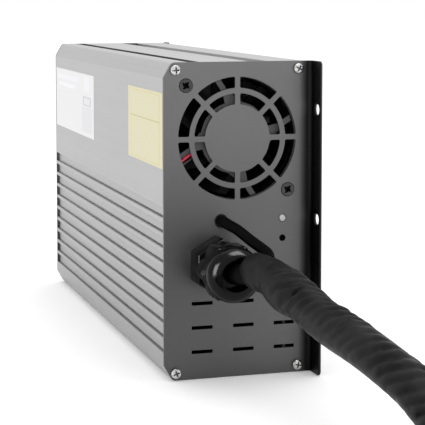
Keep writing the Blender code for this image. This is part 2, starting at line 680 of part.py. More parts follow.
def plate_screws(name, rear=False):
    """Four pan head screws through one end plate into the shells' ports."""
    face = TOTAL_LENGTH + CLEARANCE if rear else -CLEARANCE
    facing = "back" if rear else "front"
    for index, (x, z) in enumerate(screw_places(), 1):
        cross_screw(f"{name}_{index}", (x, face, z), facing, SCREW_HEAD, SCREW_HEAD_HEIGHT, SCREW_SHANK, SCREW_LENGTH)


def fan_screw_places():
    """The two fan screws that are fitted: upper left and lower right."""
    return [(FAN_X - FAN_HOLE_OFFSET, FAN_Z + FAN_HOLE_OFFSET), (FAN_X + FAN_HOLE_OFFSET, FAN_Z - FAN_HOLE_OFFSET)]


def fan_frame():
    """The fan's square housing with its duct, corner holes, motor base, four struts and a wire notch."""
    front = SHELL_FRONT
    back = front + FAN_DEPTH
    square = rectangle(FAN_X, FAN_Z, FAN_SIZE, FAN_SIZE, FAN_CORNER)
    duct = circle(FAN_X, FAN_Z, DUCT_RADIUS, STEPS + 8)
    holes = [circle(FAN_X + a * FAN_HOLE_OFFSET, FAN_Z + b * FAN_HOLE_OFFSET, FAN_HOLE, 12)
             for a in (-1, 1) for b in (-1, 1)]
    frame = prism("fan_frame", [square, duct] + holes, "y", front, front + FAN_FLANGE, "dull_plastic")
    boolean(frame, prism("fan_back", [square, duct] + holes, "y", back - FAN_FLANGE, back), "UNION")
    wall = circle(FAN_X, FAN_Z, DUCT_RADIUS + SHROUD_WALL, STEPS + 8)
    boolean(frame, prism("fan_shroud", [wall, duct], "y", front + FAN_FLANGE / 2, back - FAN_FLANGE / 2), "UNION")
    base_front = front + MOTOR_BASE_SETBACK
    base_back = base_front + MOTOR_BASE_THICKNESS
    boolean(frame, prism("motor_base_and_struts", [strut_outline()], "y", base_front, base_back), "UNION")
    axis = (FAN_X, 0, FAN_Z)
    tube_end = base_back + ROTOR_GAP + STATOR_LENGTH + 2 * ROTOR_GAP
    boolean(frame, pipe("bearing_tube", base_back - SHEET, tube_end, BEARING_RADIUS + CLEARANCE, TUBE_RADIUS, axis,
                        "back", steps=20), "UNION")
    low = WIRE_ROUTE[-1][1] - WIRE_PITCH - 2 * WIRE_RADIUS
    high = WIRE_ROUTE[-2][1] + 4 * WIRE_RADIUS
    notch = block("wire_notch", (0, 0, FAN_Z + low), (FAN_X - DUCT_RADIUS * 0.82, base_back + CLEARANCE,
                                                     FAN_Z + high))
    boolean(frame, notch, "DIFFERENCE")
    return frame


def strut_outline():
    """The motor base and its four slanting struts as one closed outline."""
    reach = DUCT_RADIUS + SHROUD_WALL / 2
    half = STRUT_WIDTH / 2
    outline = []
    spacing = 2 * math.pi / STRUT_COUNT
    for strut in range(STRUT_COUNT):
        turn = STRUT_START + STRUT_SLANT - strut * spacing
        along = Vector((math.cos(turn), math.sin(turn)))
        across = Vector((-along.y, along.x))
        middle = across * STRUT_OFFSET
        for side in (half, -half):
            offset = middle + across * side
            inner = math.sqrt(MOTOR_BASE_RADIUS ** 2 - offset.length ** 2)
            outer = math.sqrt(reach ** 2 - offset.length ** 2)
            pair = [offset + along * inner, offset + along * outer]
            outline += pair if side > 0 else pair[::-1]
        last = outline[-1]
        start = math.atan2(last.y, last.x)
        next_turn = turn - spacing
        next_across = Vector((-math.sin(next_turn), math.cos(next_turn))) * (STRUT_OFFSET + half)
        next_along = Vector((math.cos(next_turn), math.sin(next_turn)))
        corner = next_across + next_along * math.sqrt(MOTOR_BASE_RADIUS ** 2 - next_across.length ** 2)
        sweep = (start - math.atan2(corner.y, corner.x)) % (2 * math.pi)
        for step in range(1, STRUT_GAP_STEPS):
            angle = start - sweep * step / STRUT_GAP_STEPS
            outline.append(Vector((math.cos(angle), math.sin(angle))) * MOTOR_BASE_RADIUS)
    return [(FAN_X + point[0], FAN_Z + point[1]) for point in outline]


def fan_bearing():
    """The plain sleeve bearing in the motor base's tube."""
    start = SHELL_FRONT + MOTOR_BASE_SETBACK + MOTOR_BASE_THICKNESS + CLEARANCE
    end = start + STATOR_LENGTH + ROTOR_GAP
    return pipe("fan_bearing", start, end, SHAFT_RADIUS + CLEARANCE, BEARING_RADIUS, (FAN_X, 0, FAN_Z), "back",
                "brass", steps=20)


def fan_stator():
    """The four-pole stator on the bearing tube."""
    start = SHELL_FRONT + MOTOR_BASE_SETBACK + MOTOR_BASE_THICKNESS + ROTOR_GAP
    core = pipe("fan_stator", start, start + STATOR_LENGTH, TUBE_RADIUS + CLEARANCE, STATOR_RADIUS,
                (FAN_X, 0, FAN_Z), "back", "steel")
    root = TUBE_RADIUS + STATOR_SLOT
    slots = []
    for quarter in range(4):
        turn = math.pi / 4 + quarter * math.pi / 2
        along = Vector((math.cos(turn), math.sin(turn)))
        across = Vector((-along.y, along.x)) * STATOR_SLOT / 2
        corners = [along * root + across, along * (STATOR_RADIUS + STATOR_SLOT) + across,
                   along * (STATOR_RADIUS + STATOR_SLOT) - across, along * root - across]
        slots.append([(FAN_X + corner.x, FAN_Z + corner.y) for corner in corners])
    boolean(core, prism("stator_slots", slots, "y", start - SHEET, start + STATOR_LENGTH + SHEET), "DIFFERENCE")
    return core


def fan_rotor():
    """The cup, its shaft and seven twisted blades, on the fan's axis."""
    base_back = SHELL_FRONT + MOTOR_BASE_SETBACK + MOTOR_BASE_THICKNESS
    front = base_back + ROTOR_GAP
    back = SHELL_FRONT + FAN_DEPTH - ROTOR_GAP
    inner = ROTOR_RADIUS - ROTOR_WALL
    profile = [(0, back), (ROTOR_RADIUS - ROTOR_WALL / 2, back), (ROTOR_RADIUS, back - ROTOR_WALL / 2),
               (ROTOR_RADIUS, front), (inner, front), (inner, back - ROTOR_WALL), (SHAFT_RADIUS, back - ROTOR_WALL),
               (SHAFT_RADIUS, front), (0, front)]
    cup = turned("fan_rotor", profile, (FAN_X, 0, FAN_Z), "back", "dull_plastic", steps=STEPS)
    blades = blade_ring(front + ROTOR_GAP, back - ROTOR_GAP / 2)
    boolean(cup, blades, "UNION")
    return cup


def blade_ring(front, back):
    """Seven thin blades, each a grid bent to its twist and given a thickness."""
    root = ROTOR_RADIUS - ROTOR_WALL / 2
    tip = DUCT_RADIUS - BLADE_TIP_GAP
    shape = bmesh.new()
    for index in range(BLADE_COUNT):
        made = bmesh.ops.create_grid(shape, x_segments=4, y_segments=5, size=0.5)
        for vertex in made["verts"]:
            out, chord = vertex.co.x + 0.5, vertex.co.y
            radius = root + (tip - root) * out
            turn = 2 * math.pi * index / BLADE_COUNT + BLADE_SWEEP * out + BLADE_CHORD * chord
            height = (front + back) / 2 + (back - front) * 0.46 * math.sin(math.pi * chord) * (1 - 0.15 * out)
            vertex.co = (radius * math.cos(turn), radius * math.sin(turn), height)
    mesh = bpy.data.meshes.new("blades")
    shape.to_mesh(mesh)
    shape.free()
    blades = place("blades", mesh, None, (FAN_X, 0, FAN_Z), "back")
    thick = blades.modifiers.new("thickness", "SOLIDIFY")
    thick.thickness = BLADE_THICKNESS
    thick.offset = 0
    return blades


def fan_fixings():
    """Two black countersunk screws and the nuts on them."""
    nut_front = SHELL_FRONT + FAN_DEPTH + CLEARANCE
    nut_back = nut_front + FAN_NUT_HEIGHT
    for index, (x, z) in enumerate(fan_screw_places(), 1):
        length = nut_back + CLEARANCE
        profile = [(0, 0), (FAN_SCREW_HEAD, 0), (FAN_SCREW_SHANK, -SHEET), (FAN_SCREW_SHANK, -length), (0, -length)]
        screw = turned(f"fan_screw_{index}", profile, (x, 0, z), "front", "black_screw", steps=16)
        cross_cut(screw, (x, 0, z), "front", 0.0)
        bore = circle(x, z, FAN_SCREW_SHANK + CLEARANCE, 12)
        prism(f"fan_nut_{index}", [hexagon(x, z, FAN_NUT_FLATS), bore], "y", nut_front, nut_back, "steel")


def fan_wires():
    """The red and black wires from the motor base through the notch and the gap beside the frame to the board."""
    back = SHELL_FRONT + FAN_DEPTH
    y = SHELL_FRONT + MOTOR_BASE_SETBACK / 2
    outside = WALL + WIRE_GAP_SHARE * (FAN_X - FAN_SIZE / 2 - WALL)
    for name, drop in (("red", 0.0), ("black", WIRE_PITCH)):
        points = [(FAN_X + x, y, FAN_Z + z - drop) for x, z in WIRE_ROUTE]
        level = points[-1][2]
        points += [(outside, y + 0.003, level), (outside, back, level), (outside + 0.005, back + 0.006, level),
                   (FAN_X, back + 0.009, level), (BOARD_LEFT - 0.006, back + 0.012, level),
                   (BOARD_LEFT - CLEARANCE, back + 0.012, level)]
        tube(f"fan_wire_{name}", points, WIRE_RADIUS, f"{name}_wire", spacing=3)


def lamps():
    """The white lens, the dark lamp behind its hole, and the holder that carries both on the board."""
    back = LAMP_HOLDER_Y - CLEARANCE
    proud = LAMP_PROUD
    profile = [(0, proud), (LAMP_RADIUS * 0.6, proud * 0.75), (LAMP_RADIUS, 0), (LAMP_RADIUS, -SHELL_FRONT),
               (LAMP_RADIUS + SHEET / 2, -SHELL_FRONT), (LAMP_RADIUS + SHEET / 2, -back), (0, -back)]
    turned("lamp_lens", profile, (LAMP_X, 0, LAMP_Z), "front", "white_lens", steps=16)
    rod("dark_lamp", -back, -SHELL_FRONT, LAMP_RADIUS, (LAMP_X, 0, DARK_LAMP_Z), "front", "dull_plastic", steps=16)
    reach = 2 * LAMP_RADIUS
    block("lamp_holder", (LAMP_X - reach, LAMP_HOLDER_Y, DARK_LAMP_Z - reach),
          (BOARD_LEFT - CLEARANCE, LAMP_HOLDER_Y + LAMP_HOLDER_DEPTH, LAMP_Z + reach), "dull_plastic")


def cable_gland():
    """The gland's body, dome nut, seal and locknut about one axis."""
    axis = (GLAND_X, 0, GLAND_Z)
    collar_end = CLEARANCE + COLLAR_DEPTH
    body = prism("gland_body", [hexagon(GLAND_X, GLAND_Z, GLAND_FLATS)], "y", -collar_end, -CLEARANCE,
                 "black_plastic")
    boolean(body, rod("gland_thread", -THREAD_REACH, CLEARANCE + SHEET, GLAND_THREAD, axis, "front"), "UNION")
    neck_end = collar_end + NECK_DEPTH
    boolean(body, rod("gland_neck", collar_end - SHEET, neck_end, NECK_RADIUS, axis, "front"), "UNION")
    boolean(body, rod("gland_bore", -THREAD_REACH - SHEET, neck_end + SHEET, GLAND_BORE, axis, "front"),
            "DIFFERENCE")
    nut_start = collar_end + CLEARANCE
    nut = prism("gland_nut", [hexagon(GLAND_X, GLAND_Z, GLAND_FLATS, turned=True)], "y", -DOME_NUT_END + SHEET,
                -nut_start, "black_plastic")
    rise = DOME_END - DOME_NUT_END
    profile = [(0, DOME_END)]
    for step in range(5):
        turn = math.pi / 2 * step / 4
        profile.append((DOME_MOUTH + SHEET + (DOME_RIM - DOME_MOUTH - SHEET) * math.sin(turn),
                        DOME_NUT_END + rise * math.cos(turn)))
    profile += [(DOME_RIM, DOME_NUT_END - 2 * SHEET), (DOME_RIM - SHEET, DOME_NUT_END - 3 * SHEET),
                (0, DOME_NUT_END - 3 * SHEET)]
    boolean(nut, turned("gland_dome", profile, axis, "front"), "UNION")
    hollow = NECK_RADIUS + CLEARANCE
    inner = [(0, DOME_END + SHEET), (DOME_MOUTH, DOME_END + SHEET), (DOME_MOUTH, DOME_NUT_END + SHEET),
             (hollow, neck_end + CLEARANCE), (hollow, nut_start - SHEET), (0, nut_start - SHEET)]
    boolean(nut, turned("nut_bore", inner, axis, "front"), "DIFFERENCE")
    pipe("gland_seal", neck_end - SEAL_DEPTH, neck_end, CORE_RADIUS + CLEARANCE, GLAND_BORE - CLEARANCE, axis,
         "front", "rubber", steps=24)
    bore = circle(GLAND_X, GLAND_Z, GLAND_THREAD + CLEARANCE, STEPS)
    prism("gland_locknut", [hexagon(GLAND_X, GLAND_Z, GLAND_FLATS, turned=True), bore], "y", SHELL_FRONT,
          SHELL_FRONT + LOCKNUT_HEIGHT, "black_plastic")


def from_point(x, z, route):
    """A route whose points are offsets from a place x, z on the front plate."""
    return [(x + point[0], point[1], z + point[2]) for point in route]


def output_lead():
    """The lead's core through the gland, its sleeve, the coil's ring and the two-pole connector."""
    tube("lead_core", from_point(GLAND_X, GLAND_Z, CORE_ROUTE), CORE_RADIUS, "black_wire", spacing=1, resolution=3)
    tube("lead_sleeve", from_point(GLAND_X, GLAND_Z, SLEEVE_ROUTE) + SLEEVE_LANDING, SLEEVE_RADIUS, "sleeve",
         spacing=0.8, resolution=3)
    pipe("lead_coil", 0, COIL_HEIGHT, COIL_INNER, COIL_OUTER, (COIL_X, COIL_Y, 0), "up", "sleeve", steps=40)


def lead_connector():
    """The two-pole connector inside the coil, and its contacts."""
    y = COIL_Y + CONNECTOR_OFFSET
    left, right = COIL_X - CONNECTOR_LENGTH / 2, COIL_X + CONNECTOR_LENGTH / 2
    middle = CONNECTOR_HEIGHT / 2
    housing = block("lead_connector", (left, y - CONNECTOR_WIDTH / 2, 0), (right, y + CONNECTOR_WIDTH / 2,
                                                                          CONNECTOR_HEIGHT), "dull_plastic", 0.001)
    floor = right - CONNECTOR_MOUTH_DEPTH
    half_width, half_height = CONNECTOR_MOUTH_WIDTH / 2, CONNECTOR_MOUTH_HEIGHT / 2
    boolean(housing, block("connector_mouth", (floor, y - half_width, middle - half_height),
                           (right + SHEET, y + half_width, middle + half_height)), "DIFFERENCE")
    for index, side in enumerate((-1, 1)):
        groove = left + CONNECTOR_LENGTH * 0.3
        edge = y + side * CONNECTOR_WIDTH / 2
        boolean(housing, block(f"grip_{index}", (left + SHEET * 3, edge - SHEET / 2, SHEET * 2),
                               (groove, edge + SHEET / 2, CONNECTOR_HEIGHT - SHEET * 2)), "DIFFERENCE")
    for index, side in enumerate((-1, 1), 1):
        rod(f"connector_contact_{index}", floor + CLEARANCE, right - SHEET, CONTACT_RADIUS,
            (0, y + side * CONTACT_SPREAD / 2, middle), "right", "brass", steps=12)


def signal_cable():
    """The thin cable from the board through its grommet to the sleeve's mouth."""
    route = from_point(BOARD_LEFT, SIGNAL_Z, SIGNAL_BOARD_ROUTE) + from_point(SIGNAL_X, SIGNAL_Z, SIGNAL_ROUTE)
    tube("signal_cable", route, SIGNAL_RADIUS, "black_wire", spacing=1)
    inner = SIGNAL_RADIUS + CLEARANCE
    profile = [(inner, 0), (GROMMET_OUTER, 0), (GROMMET_OUTER, -SHELL_FRONT), (GROMMET_FLANGE, -SHELL_FRONT),
               (GROMMET_FLANGE, -SHELL_FRONT - SHEET), (inner, -SHELL_FRONT - SHEET)]
    turned("signal_grommet", profile, (SIGNAL_X, 0, SIGNAL_Z), "front", "rubber", ring=True, steps=20)


def inlet_screw_places():
    """The x of the inlet's two screws."""
    return (INLET_X - INLET_SCREW_SPREAD / 2, INLET_X + INLET_SCREW_SPREAD / 2)


def mains_inlet():
    """The mains socket on the rear plate, its three pins and its two screws."""
    start = TOTAL_LENGTH + CLEARANCE
    end = start + INLET_FLANGE_THICKNESS
    holes = [circle(x, INLET_Z, INLET_SCREW_SHANK + CLEARANCE, 12) for x in inlet_screw_places()]
    flange = rectangle(INLET_X, INLET_Z, INLET_FLANGE_WIDTH, INLET_FLANGE_HEIGHT, INLET_FLANGE_HEIGHT / 5)
    inlet = prism("mains_inlet", [flange] + holes, "y", start, end, "dull_plastic")
    outer = rectangle(INLET_X, INLET_Z, INLET_WIDTH, INLET_HEIGHT)
    boolean(inlet, prism("inlet_body", [outer], "y", end - INLET_FLANGE_THICKNESS / 2 - INLET_DEPTH,
                         end - INLET_FLANGE_THICKNESS / 2), "UNION")
    half_width, half_height, chamfer = SOCKET_WIDTH / 2, SOCKET_HEIGHT / 2, SOCKET_HEIGHT / 4
    socket = [(-half_width, half_height), (-half_width, -half_height + chamfer),
              (-half_width + chamfer, -half_height), (half_width - chamfer, -half_height),
              (half_width, -half_height + chamfer), (half_width, half_height)]
    socket = [(INLET_X + x, INLET_Z + z) for x, z in socket]
    floor = end - SOCKET_DEPTH
    boolean(inlet, prism("socket", [socket], "y", floor, end + SHEET), "DIFFERENCE")
    for index, (offset, rise) in enumerate(((-PIN_SPREAD, 0.0), (0.0, PIN_WIDTH), (PIN_SPREAD, 0.0)), 1):
        x, z = INLET_X + offset, INLET_Z + rise
        block(f"inlet_pin_{index}", (x - PIN_WIDTH / 2, floor + CLEARANCE, z - PIN_HEIGHT / 2),
              (x + PIN_WIDTH / 2, floor + PIN_LENGTH, z + PIN_HEIGHT / 2), "brass")
    for index, x in enumerate(inlet_screw_places(), 1):
        cross_screw(f"inlet_screw_{index}", (x, end + CLEARANCE, INLET_Z), "back", SCREW_HEAD, SCREW_HEAD_HEIGHT,
                    INLET_SCREW_SHANK, SCREW_LENGTH)


def circuit_board():
    """The board in the right shell's rails, stepped back above for the fan."""
    low = WALL + CLEARANCE
    high = CASE_HEIGHT - low
    outline = [(BOARD_FRONT, low), (BOARD_BACK, low), (BOARD_BACK, high), (BOARD_BEHIND_FAN, high),
               (BOARD_BEHIND_FAN, BOARD_STEP_Z), (BOARD_FRONT, BOARD_STEP_Z)]
    prism("circuit_board", [outline], "x", BOARD_LEFT, BOARD_LEFT + BOARD_THICKNESS, "board")


def capacitors():
    """Two input and two output capacitors, upright on the board."""
    seat = BOARD_LEFT - CLEARANCE

    def cans(name, places, radius, height):
        """Round cans that stand on the board at the places given as y and z."""
        profile = [(0, height), (radius * 0.9, height), (radius, height - radius * 0.1), (radius, 0), (0, 0)]
        for index, (y, z) in enumerate(places, 1):
            turned(f"{name}_{index}", profile, (seat, y, z), "left", "capacitor", steps=20)

    for name, y, z, radius, height in (
            ("input_capacitor", INPUT_CAPACITOR_Y, INPUT_CAPACITOR_Z, INPUT_CAPACITOR_RADIUS, INPUT_CAPACITOR_HEIGHT),
            ("output_capacitor", OUTPUT_CAPACITOR_Y, OUTPUT_CAPACITOR_Z, OUTPUT_CAPACITOR_RADIUS,
             OUTPUT_CAPACITOR_HEIGHT)):
        cans(name, [(y + step * (2 * radius + CAPACITOR_GAP), z) for step in (0, 1)], radius, height)


def transformer():
    """A ferrite core with two windows and the winding round its middle leg."""
    seat = BOARD_LEFT - CLEARANCE
    middle = seat - WINDING_DEPTH / 2
    outer = rectangle(TRANSFORMER_Y, TRANSFORMER_Z, CORE_LENGTH, CORE_HEIGHT)
    window_width = (CORE_LENGTH - 4 * CORE_LEG) / 2
    window_height = CORE_HEIGHT - 2 * CORE_LEG
    shift = CORE_LEG + window_width / 2
    windows = [rectangle(TRANSFORMER_Y + side * shift, TRANSFORMER_Z, window_width, window_height)
               for side in (-1, 1)]
    prism("transformer_core", [outer] + windows, "x", middle - CORE_THICKNESS / 2, middle + CORE_THICKNESS / 2,
          "ferrite")
    leg = 2 * CORE_LEG + 2 * CLEARANCE
    wound = 2 * (CORE_LEG + window_width - CLEARANCE)
    ring = [rectangle(middle, TRANSFORMER_Y, WINDING_DEPTH, wound, window_width / 2),
            rectangle(middle, TRANSFORMER_Y, CORE_THICKNESS + 2 * CLEARANCE, leg)]
    half = window_height / 2 - CLEARANCE
    prism("transformer_winding", ring, "z", TRANSFORMER_Z - half, TRANSFORMER_Z + half, "copper")


def ring_choke():
    """A wound ring standing flat on the board."""
    seat = BOARD_LEFT - CLEARANCE
    profile = []
    for step in range(CHOKE_FACES):
        turn = math.pi / 2 - 2 * math.pi * step / CHOKE_FACES
        profile.append((CHOKE_RADIUS + CHOKE_WALL * math.cos(turn), CHOKE_HALF_HEIGHT * (1 + math.sin(turn))))
    turned("ring_choke", profile, (seat, CHOKE_Y, CHOKE_Z), "left", "copper", ring=True, steps=24)


def heat_bar():
    """The bar on the finned wall and the power transistors pressed to it."""
    start = FIN_DEPTH + GROOVE_WALL + CLEARANCE
    face = start + HEAT_BAR_THICKNESS
    block("heat_bar", (start, HEAT_BAR_FRONT, HEAT_BAR_LOW), (face, HEAT_BAR_BACK, HEAT_BAR_HIGH),
          "plain_aluminium")
    half_width, half_height = TRANSISTOR_WIDTH / 2, TRANSISTOR_HEIGHT / 2
    middle = (HEAT_BAR_LOW + HEAT_BAR_HIGH) / 2
    pitch = (HEAT_BAR_BACK - HEAT_BAR_FRONT) / TRANSISTOR_COUNT
    for index in range(TRANSISTOR_COUNT):
        y = HEAT_BAR_FRONT + (index + 0.5) * pitch
        block(f"power_transistor_{index + 1}", (face + CLEARANCE, y - half_width, middle - half_height),
              (face + CLEARANCE + TRANSISTOR_THICKNESS, y + half_width, middle + half_height), "dull_plastic")


def rectifier_and_fuse():
    """The bridge rectifier and the fuse on the board."""
    seat = BOARD_LEFT - CLEARANCE
    back = BOARD_BACK - RECTIFIER_SETBACK
    block("bridge_rectifier", (seat - RECTIFIER_REACH, back - RECTIFIER_LENGTH, RECTIFIER_Z),
          (seat, back, RECTIFIER_Z + RECTIFIER_THICKNESS), "dull_plastic")
    rod("fuse", FUSE_Y, FUSE_Y + FUSE_LENGTH, FUSE_RADIUS, (seat - FUSE_RADIUS, 0, FUSE_Z), "back", "steel",
        steps=16)


def inner_wires():
    """The wires from the inlet to the board, and from the board to the lead."""
    start = TOTAL_LENGTH + CLEARANCE + INLET_FLANGE_THICKNESS / 2 - INLET_DEPTH - CLEARANCE
    seat = BOARD_LEFT - CLEARANCE
    for name, offset, z, finish in (("live", -PIN_SPREAD, 0.0, "black_wire"), ("neutral", PIN_SPREAD, 0.0, "sleeve")):
        x = INLET_X + offset
        points = [(x, start, INLET_Z), (x, start - 0.006, INLET_Z), (x + 0.006, start - 0.012 + offset / 4, INLET_Z),
                  (seat - 0.006, start - 0.016 + offset / 2, INLET_Z), (seat, start - 0.017 + offset / 2, INLET_Z)]
        tube(f"mains_wire_{name}", points, INNER_WIRE_RADIUS, finish, spacing=2)
    back = CORE_ROUTE[0][1] + CLEARANCE
    for name, side, finish in (("positive", 1, "red_wire"), ("negative", -1, "black_wire")):
        z = GLAND_Z + side * 2 * INNER_WIRE_RADIUS
        points = [(GLAND_X, back, z), (GLAND_X + 0.001, back + 0.006, z), (GLAND_X + 0.012, back + 0.013, z),
                  (seat - 0.008, back + 0.016, z), (seat, back + 0.016, z)]
        tube(f"output_wire_{name}", points, INNER_WIRE_RADIUS, finish, spacing=2)


def shade():
    """Smooths round faces and keeps real edges sharp on every part that is a mesh."""
    for obj in PARTS.objects:
        if obj.type == "MESH":
            obj.data.shade_smooth()
            obj.data.set_sharp_from_angle(angle=math.radians(35))


def main():
    """Builds every piece of the charger."""
    left_shell()
    right_shell()
    front_plate()
    rear_plate()
    plate_screws("front_plate_screws")
    plate_screws("rear_plate_screws", rear=True)
    fan_frame()
    fan_bearing()
    fan_stator()
    fan_rotor()
    fan_fixings()
    fan_wires()
    lamps()
    cable_gland()
    output_lead()
    lead_connector()
    signal_cable()
    mains_inlet()
    circuit_board()
    capacitors()
    transformer()
    ring_choke()
    heat_bar()
    rectifier_and_fuse()
    inner_wires()
    shade()


main()
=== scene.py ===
"""Battery charger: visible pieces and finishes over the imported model, in the photo's view and light.

World coordinates are metres, +Z up. Sizes of pieces on the front plate are measured from its lower
left corner, x to the right, y into the case and z up, and PLATE_CORNER carries them into the world.
"""
import logging
import math
from collections.abc import Callable
from dataclasses import dataclass, field
from enum import Enum

import bmesh
import bpy
from bpy.types import Material, Node, NodeSocket, Object
from mathutils import Matrix, Vector, noise


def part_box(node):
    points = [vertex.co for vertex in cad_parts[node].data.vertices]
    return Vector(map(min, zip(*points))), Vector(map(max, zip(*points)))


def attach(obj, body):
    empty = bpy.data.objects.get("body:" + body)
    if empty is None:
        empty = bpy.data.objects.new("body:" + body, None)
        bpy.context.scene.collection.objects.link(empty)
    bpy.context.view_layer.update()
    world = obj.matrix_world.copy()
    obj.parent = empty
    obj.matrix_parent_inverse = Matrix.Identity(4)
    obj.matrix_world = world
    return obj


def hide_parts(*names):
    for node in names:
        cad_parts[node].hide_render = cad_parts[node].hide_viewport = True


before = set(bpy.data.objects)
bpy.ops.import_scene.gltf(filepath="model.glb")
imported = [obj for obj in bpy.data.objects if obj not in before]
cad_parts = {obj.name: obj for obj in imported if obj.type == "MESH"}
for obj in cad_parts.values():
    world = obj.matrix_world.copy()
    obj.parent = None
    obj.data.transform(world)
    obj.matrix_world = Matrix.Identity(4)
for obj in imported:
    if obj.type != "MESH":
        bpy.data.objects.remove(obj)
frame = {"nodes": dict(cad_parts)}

LOG = logging.getLogger("battery_charger")
PLATE_CORNER = Vector((-0.0368, -0.1279, 0.0))
SHINY = "pieces_with_sharp_highlights"
METRES_PER_V = 0.05
Place = tuple[float, float, float]


# Helpers for finishes


def srgb(code: str) -> tuple[float, float, float, float]:
    """Turns a colour as painters write it into the linear values that a shader takes.

    Args:
        code: Six hex digits, such as "8A8D90".

    Returns:
        Red, green, blue and an opacity of one.
    """
    parts = [int(code[i:i + 2], 16) / 255 for i in (0, 2, 4)]
    linear = [v / 12.92 if v <= 0.04045 else ((v + 0.055) / 1.055) ** 2.4 for v in parts]
    return (*linear, 1.0)


class NodeBoard:
    """The nodes of one material, added and linked one at a time."""

    def __init__(self, name: str, colour: str, roughness: float, metallic: float = 0.0) -> None:
        """Starts a Principled material.

        Args:
            name: The material's name.
            colour: Its base colour as hex digits.
            roughness: From mirror (0) to chalk (1).
            metallic: One for bare metal.
        """
        self.material = bpy.data.materials.new(name)
        self.material.use_nodes = True
        self.tree = self.material.node_tree
        self.shader = self.tree.nodes["Principled BSDF"]
        self.set("Base Color", srgb(colour))
        self.set("Roughness", roughness)
        self.set("Metallic", metallic)

    def set(self, socket: str, value: float | tuple) -> None:
        """Sets a value on the shader's own socket."""
        self.shader.inputs[socket].default_value = value

    def feed(self, socket: str, source: NodeSocket) -> None:
        """Links a pattern to the shader."""
        self.tree.links.new(source, self.shader.inputs[socket])

    def add(self, kind: str, inputs: dict | None = None, **settings: str | bool | int) -> Node:
        """Adds a node.

        Args:
            kind: The node's type without its ShaderNode prefix.
            inputs: Socket names with a value or with another node's output.
            settings: The node's own options.

        Returns:
            The node.
        """
        node = self.tree.nodes.new(f"ShaderNode{kind}")
        for name, value in settings.items():
            setattr(node, name, value)
        for name, value in (inputs or {}).items():
            if isinstance(value, NodeSocket):
                self.tree.links.new(value, node.inputs[name])
            else:
                node.inputs[name].default_value = value
        return node

    def place(self, scale: Place = (1, 1, 1), source: str = "Object") -> NodeSocket:
        """The surface's coordinates, stretched by a scale."""
        where = self.add("TexCoord").outputs[source]
        return self.add("Mapping", {"Vector": where, "Scale": scale}).outputs["Vector"]

    def grain(self, where: NodeSocket, detail: float = 3.0, roughness: float = 0.55) -> NodeSocket:
        """A cloudy value from 0 to 1 at those coordinates."""
        inputs = {"Vector": where, "Scale": 1.0, "Detail": detail, "Roughness": roughness}
        return self.add("TexNoise", inputs).outputs["Fac"]

    def spread(self, source: NodeSocket, low: float, high: float, start: float = 0.3,
               end: float = 0.7) -> NodeSocket:
        """A value between start and end, carried to the range from low to high."""
        inputs = {"Value": source, "From Min": start, "From Max": end, "To Min": low, "To Max": high}
        return self.add("MapRange", inputs).outputs["Result"]

    def tint(self, source: NodeSocket, stops: list[tuple[float, str]]) -> NodeSocket:
        """Turns a value into colours.

        Args:
            source: The value.
            stops: Places from 0 to 1 with their colours.

        Returns:
            The colour socket.
        """
        ramp = self.add("ValToRGB", {"Fac": source})
        elements = ramp.color_ramp.elements
        while len(elements) < len(stops):
            elements.new(0.5)
        for element, (position, colour) in zip(elements, stops):
            element.position = position
            element.color = srgb(colour)
        return ramp.outputs["Color"]

    def along(self, axis: str, start: float, end: float) -> NodeSocket:
        """A value that grows from 0 to 1 between two places on one of the world's axes, in metres."""
        where = self.add("TexCoord").outputs["Object"]
        return self.spread(self.add("SeparateXYZ", {"Vector": where}).outputs[axis], 0.0, 1.0, start, end)

    def blend(self, first: NodeSocket, second: NodeSocket | tuple,
              share: NodeSocket | float = 1.0, mode: str = "MULTIPLY") -> NodeSocket:
        """Two colours as one: multiplied, or mixed by a share."""
        inputs = {"Fac": share, "Color1": first, "Color2": second}
        return self.add("MixRGB", inputs, blend_type=mode).outputs["Color"]

    def relief(self, height: NodeSocket, strength: float, distance: float) -> None:
        """Raises and lowers the surface's shading by a height pattern."""
        bump = self.add("Bump", {"Height": height, "Strength": strength, "Distance": distance})
        self.feed("Normal", bump.outputs["Normal"])


# Finishes


@dataclass(frozen=True)
class Extrusion:
    """Drawn aluminium: the eye sees matt metal with faint lines left by the die; its colour is painted darker
    toward the foot as painted shade.
    """

    name: str
    colour: str = "BDBDBD"
    foot: str = "A8A8A9"
    roughness: float = 0.5
    line: float = 0.0011
    height: float = 0.1488

    def make(self) -> Material:
        """Builds the material."""
        board = NodeBoard(self.name, self.colour, self.roughness, 1.0)
        lines = board.grain(board.place((1 / self.line, 3.0, 1 / self.line)), 2.0)
        clouds = board.grain(board.place((14, 6, 14)), 3.0)
        # painted shade: the base colour runs from the foot colour at the bottom to the full colour at the top
        fall = board.tint(board.along("Z", 0.0, self.height), [(0.0, self.foot), (1.0, self.colour)])
        board.feed("Base Color", board.blend(fall, board.tint(lines, [(0.3, "FAFAFA"), (0.7, "FFFFFF")])))
        board.feed("Roughness", board.spread(clouds, self.roughness - 0.03, self.roughness + 0.04))
        board.relief(lines, 0.02, 0.0001)
        return board.material


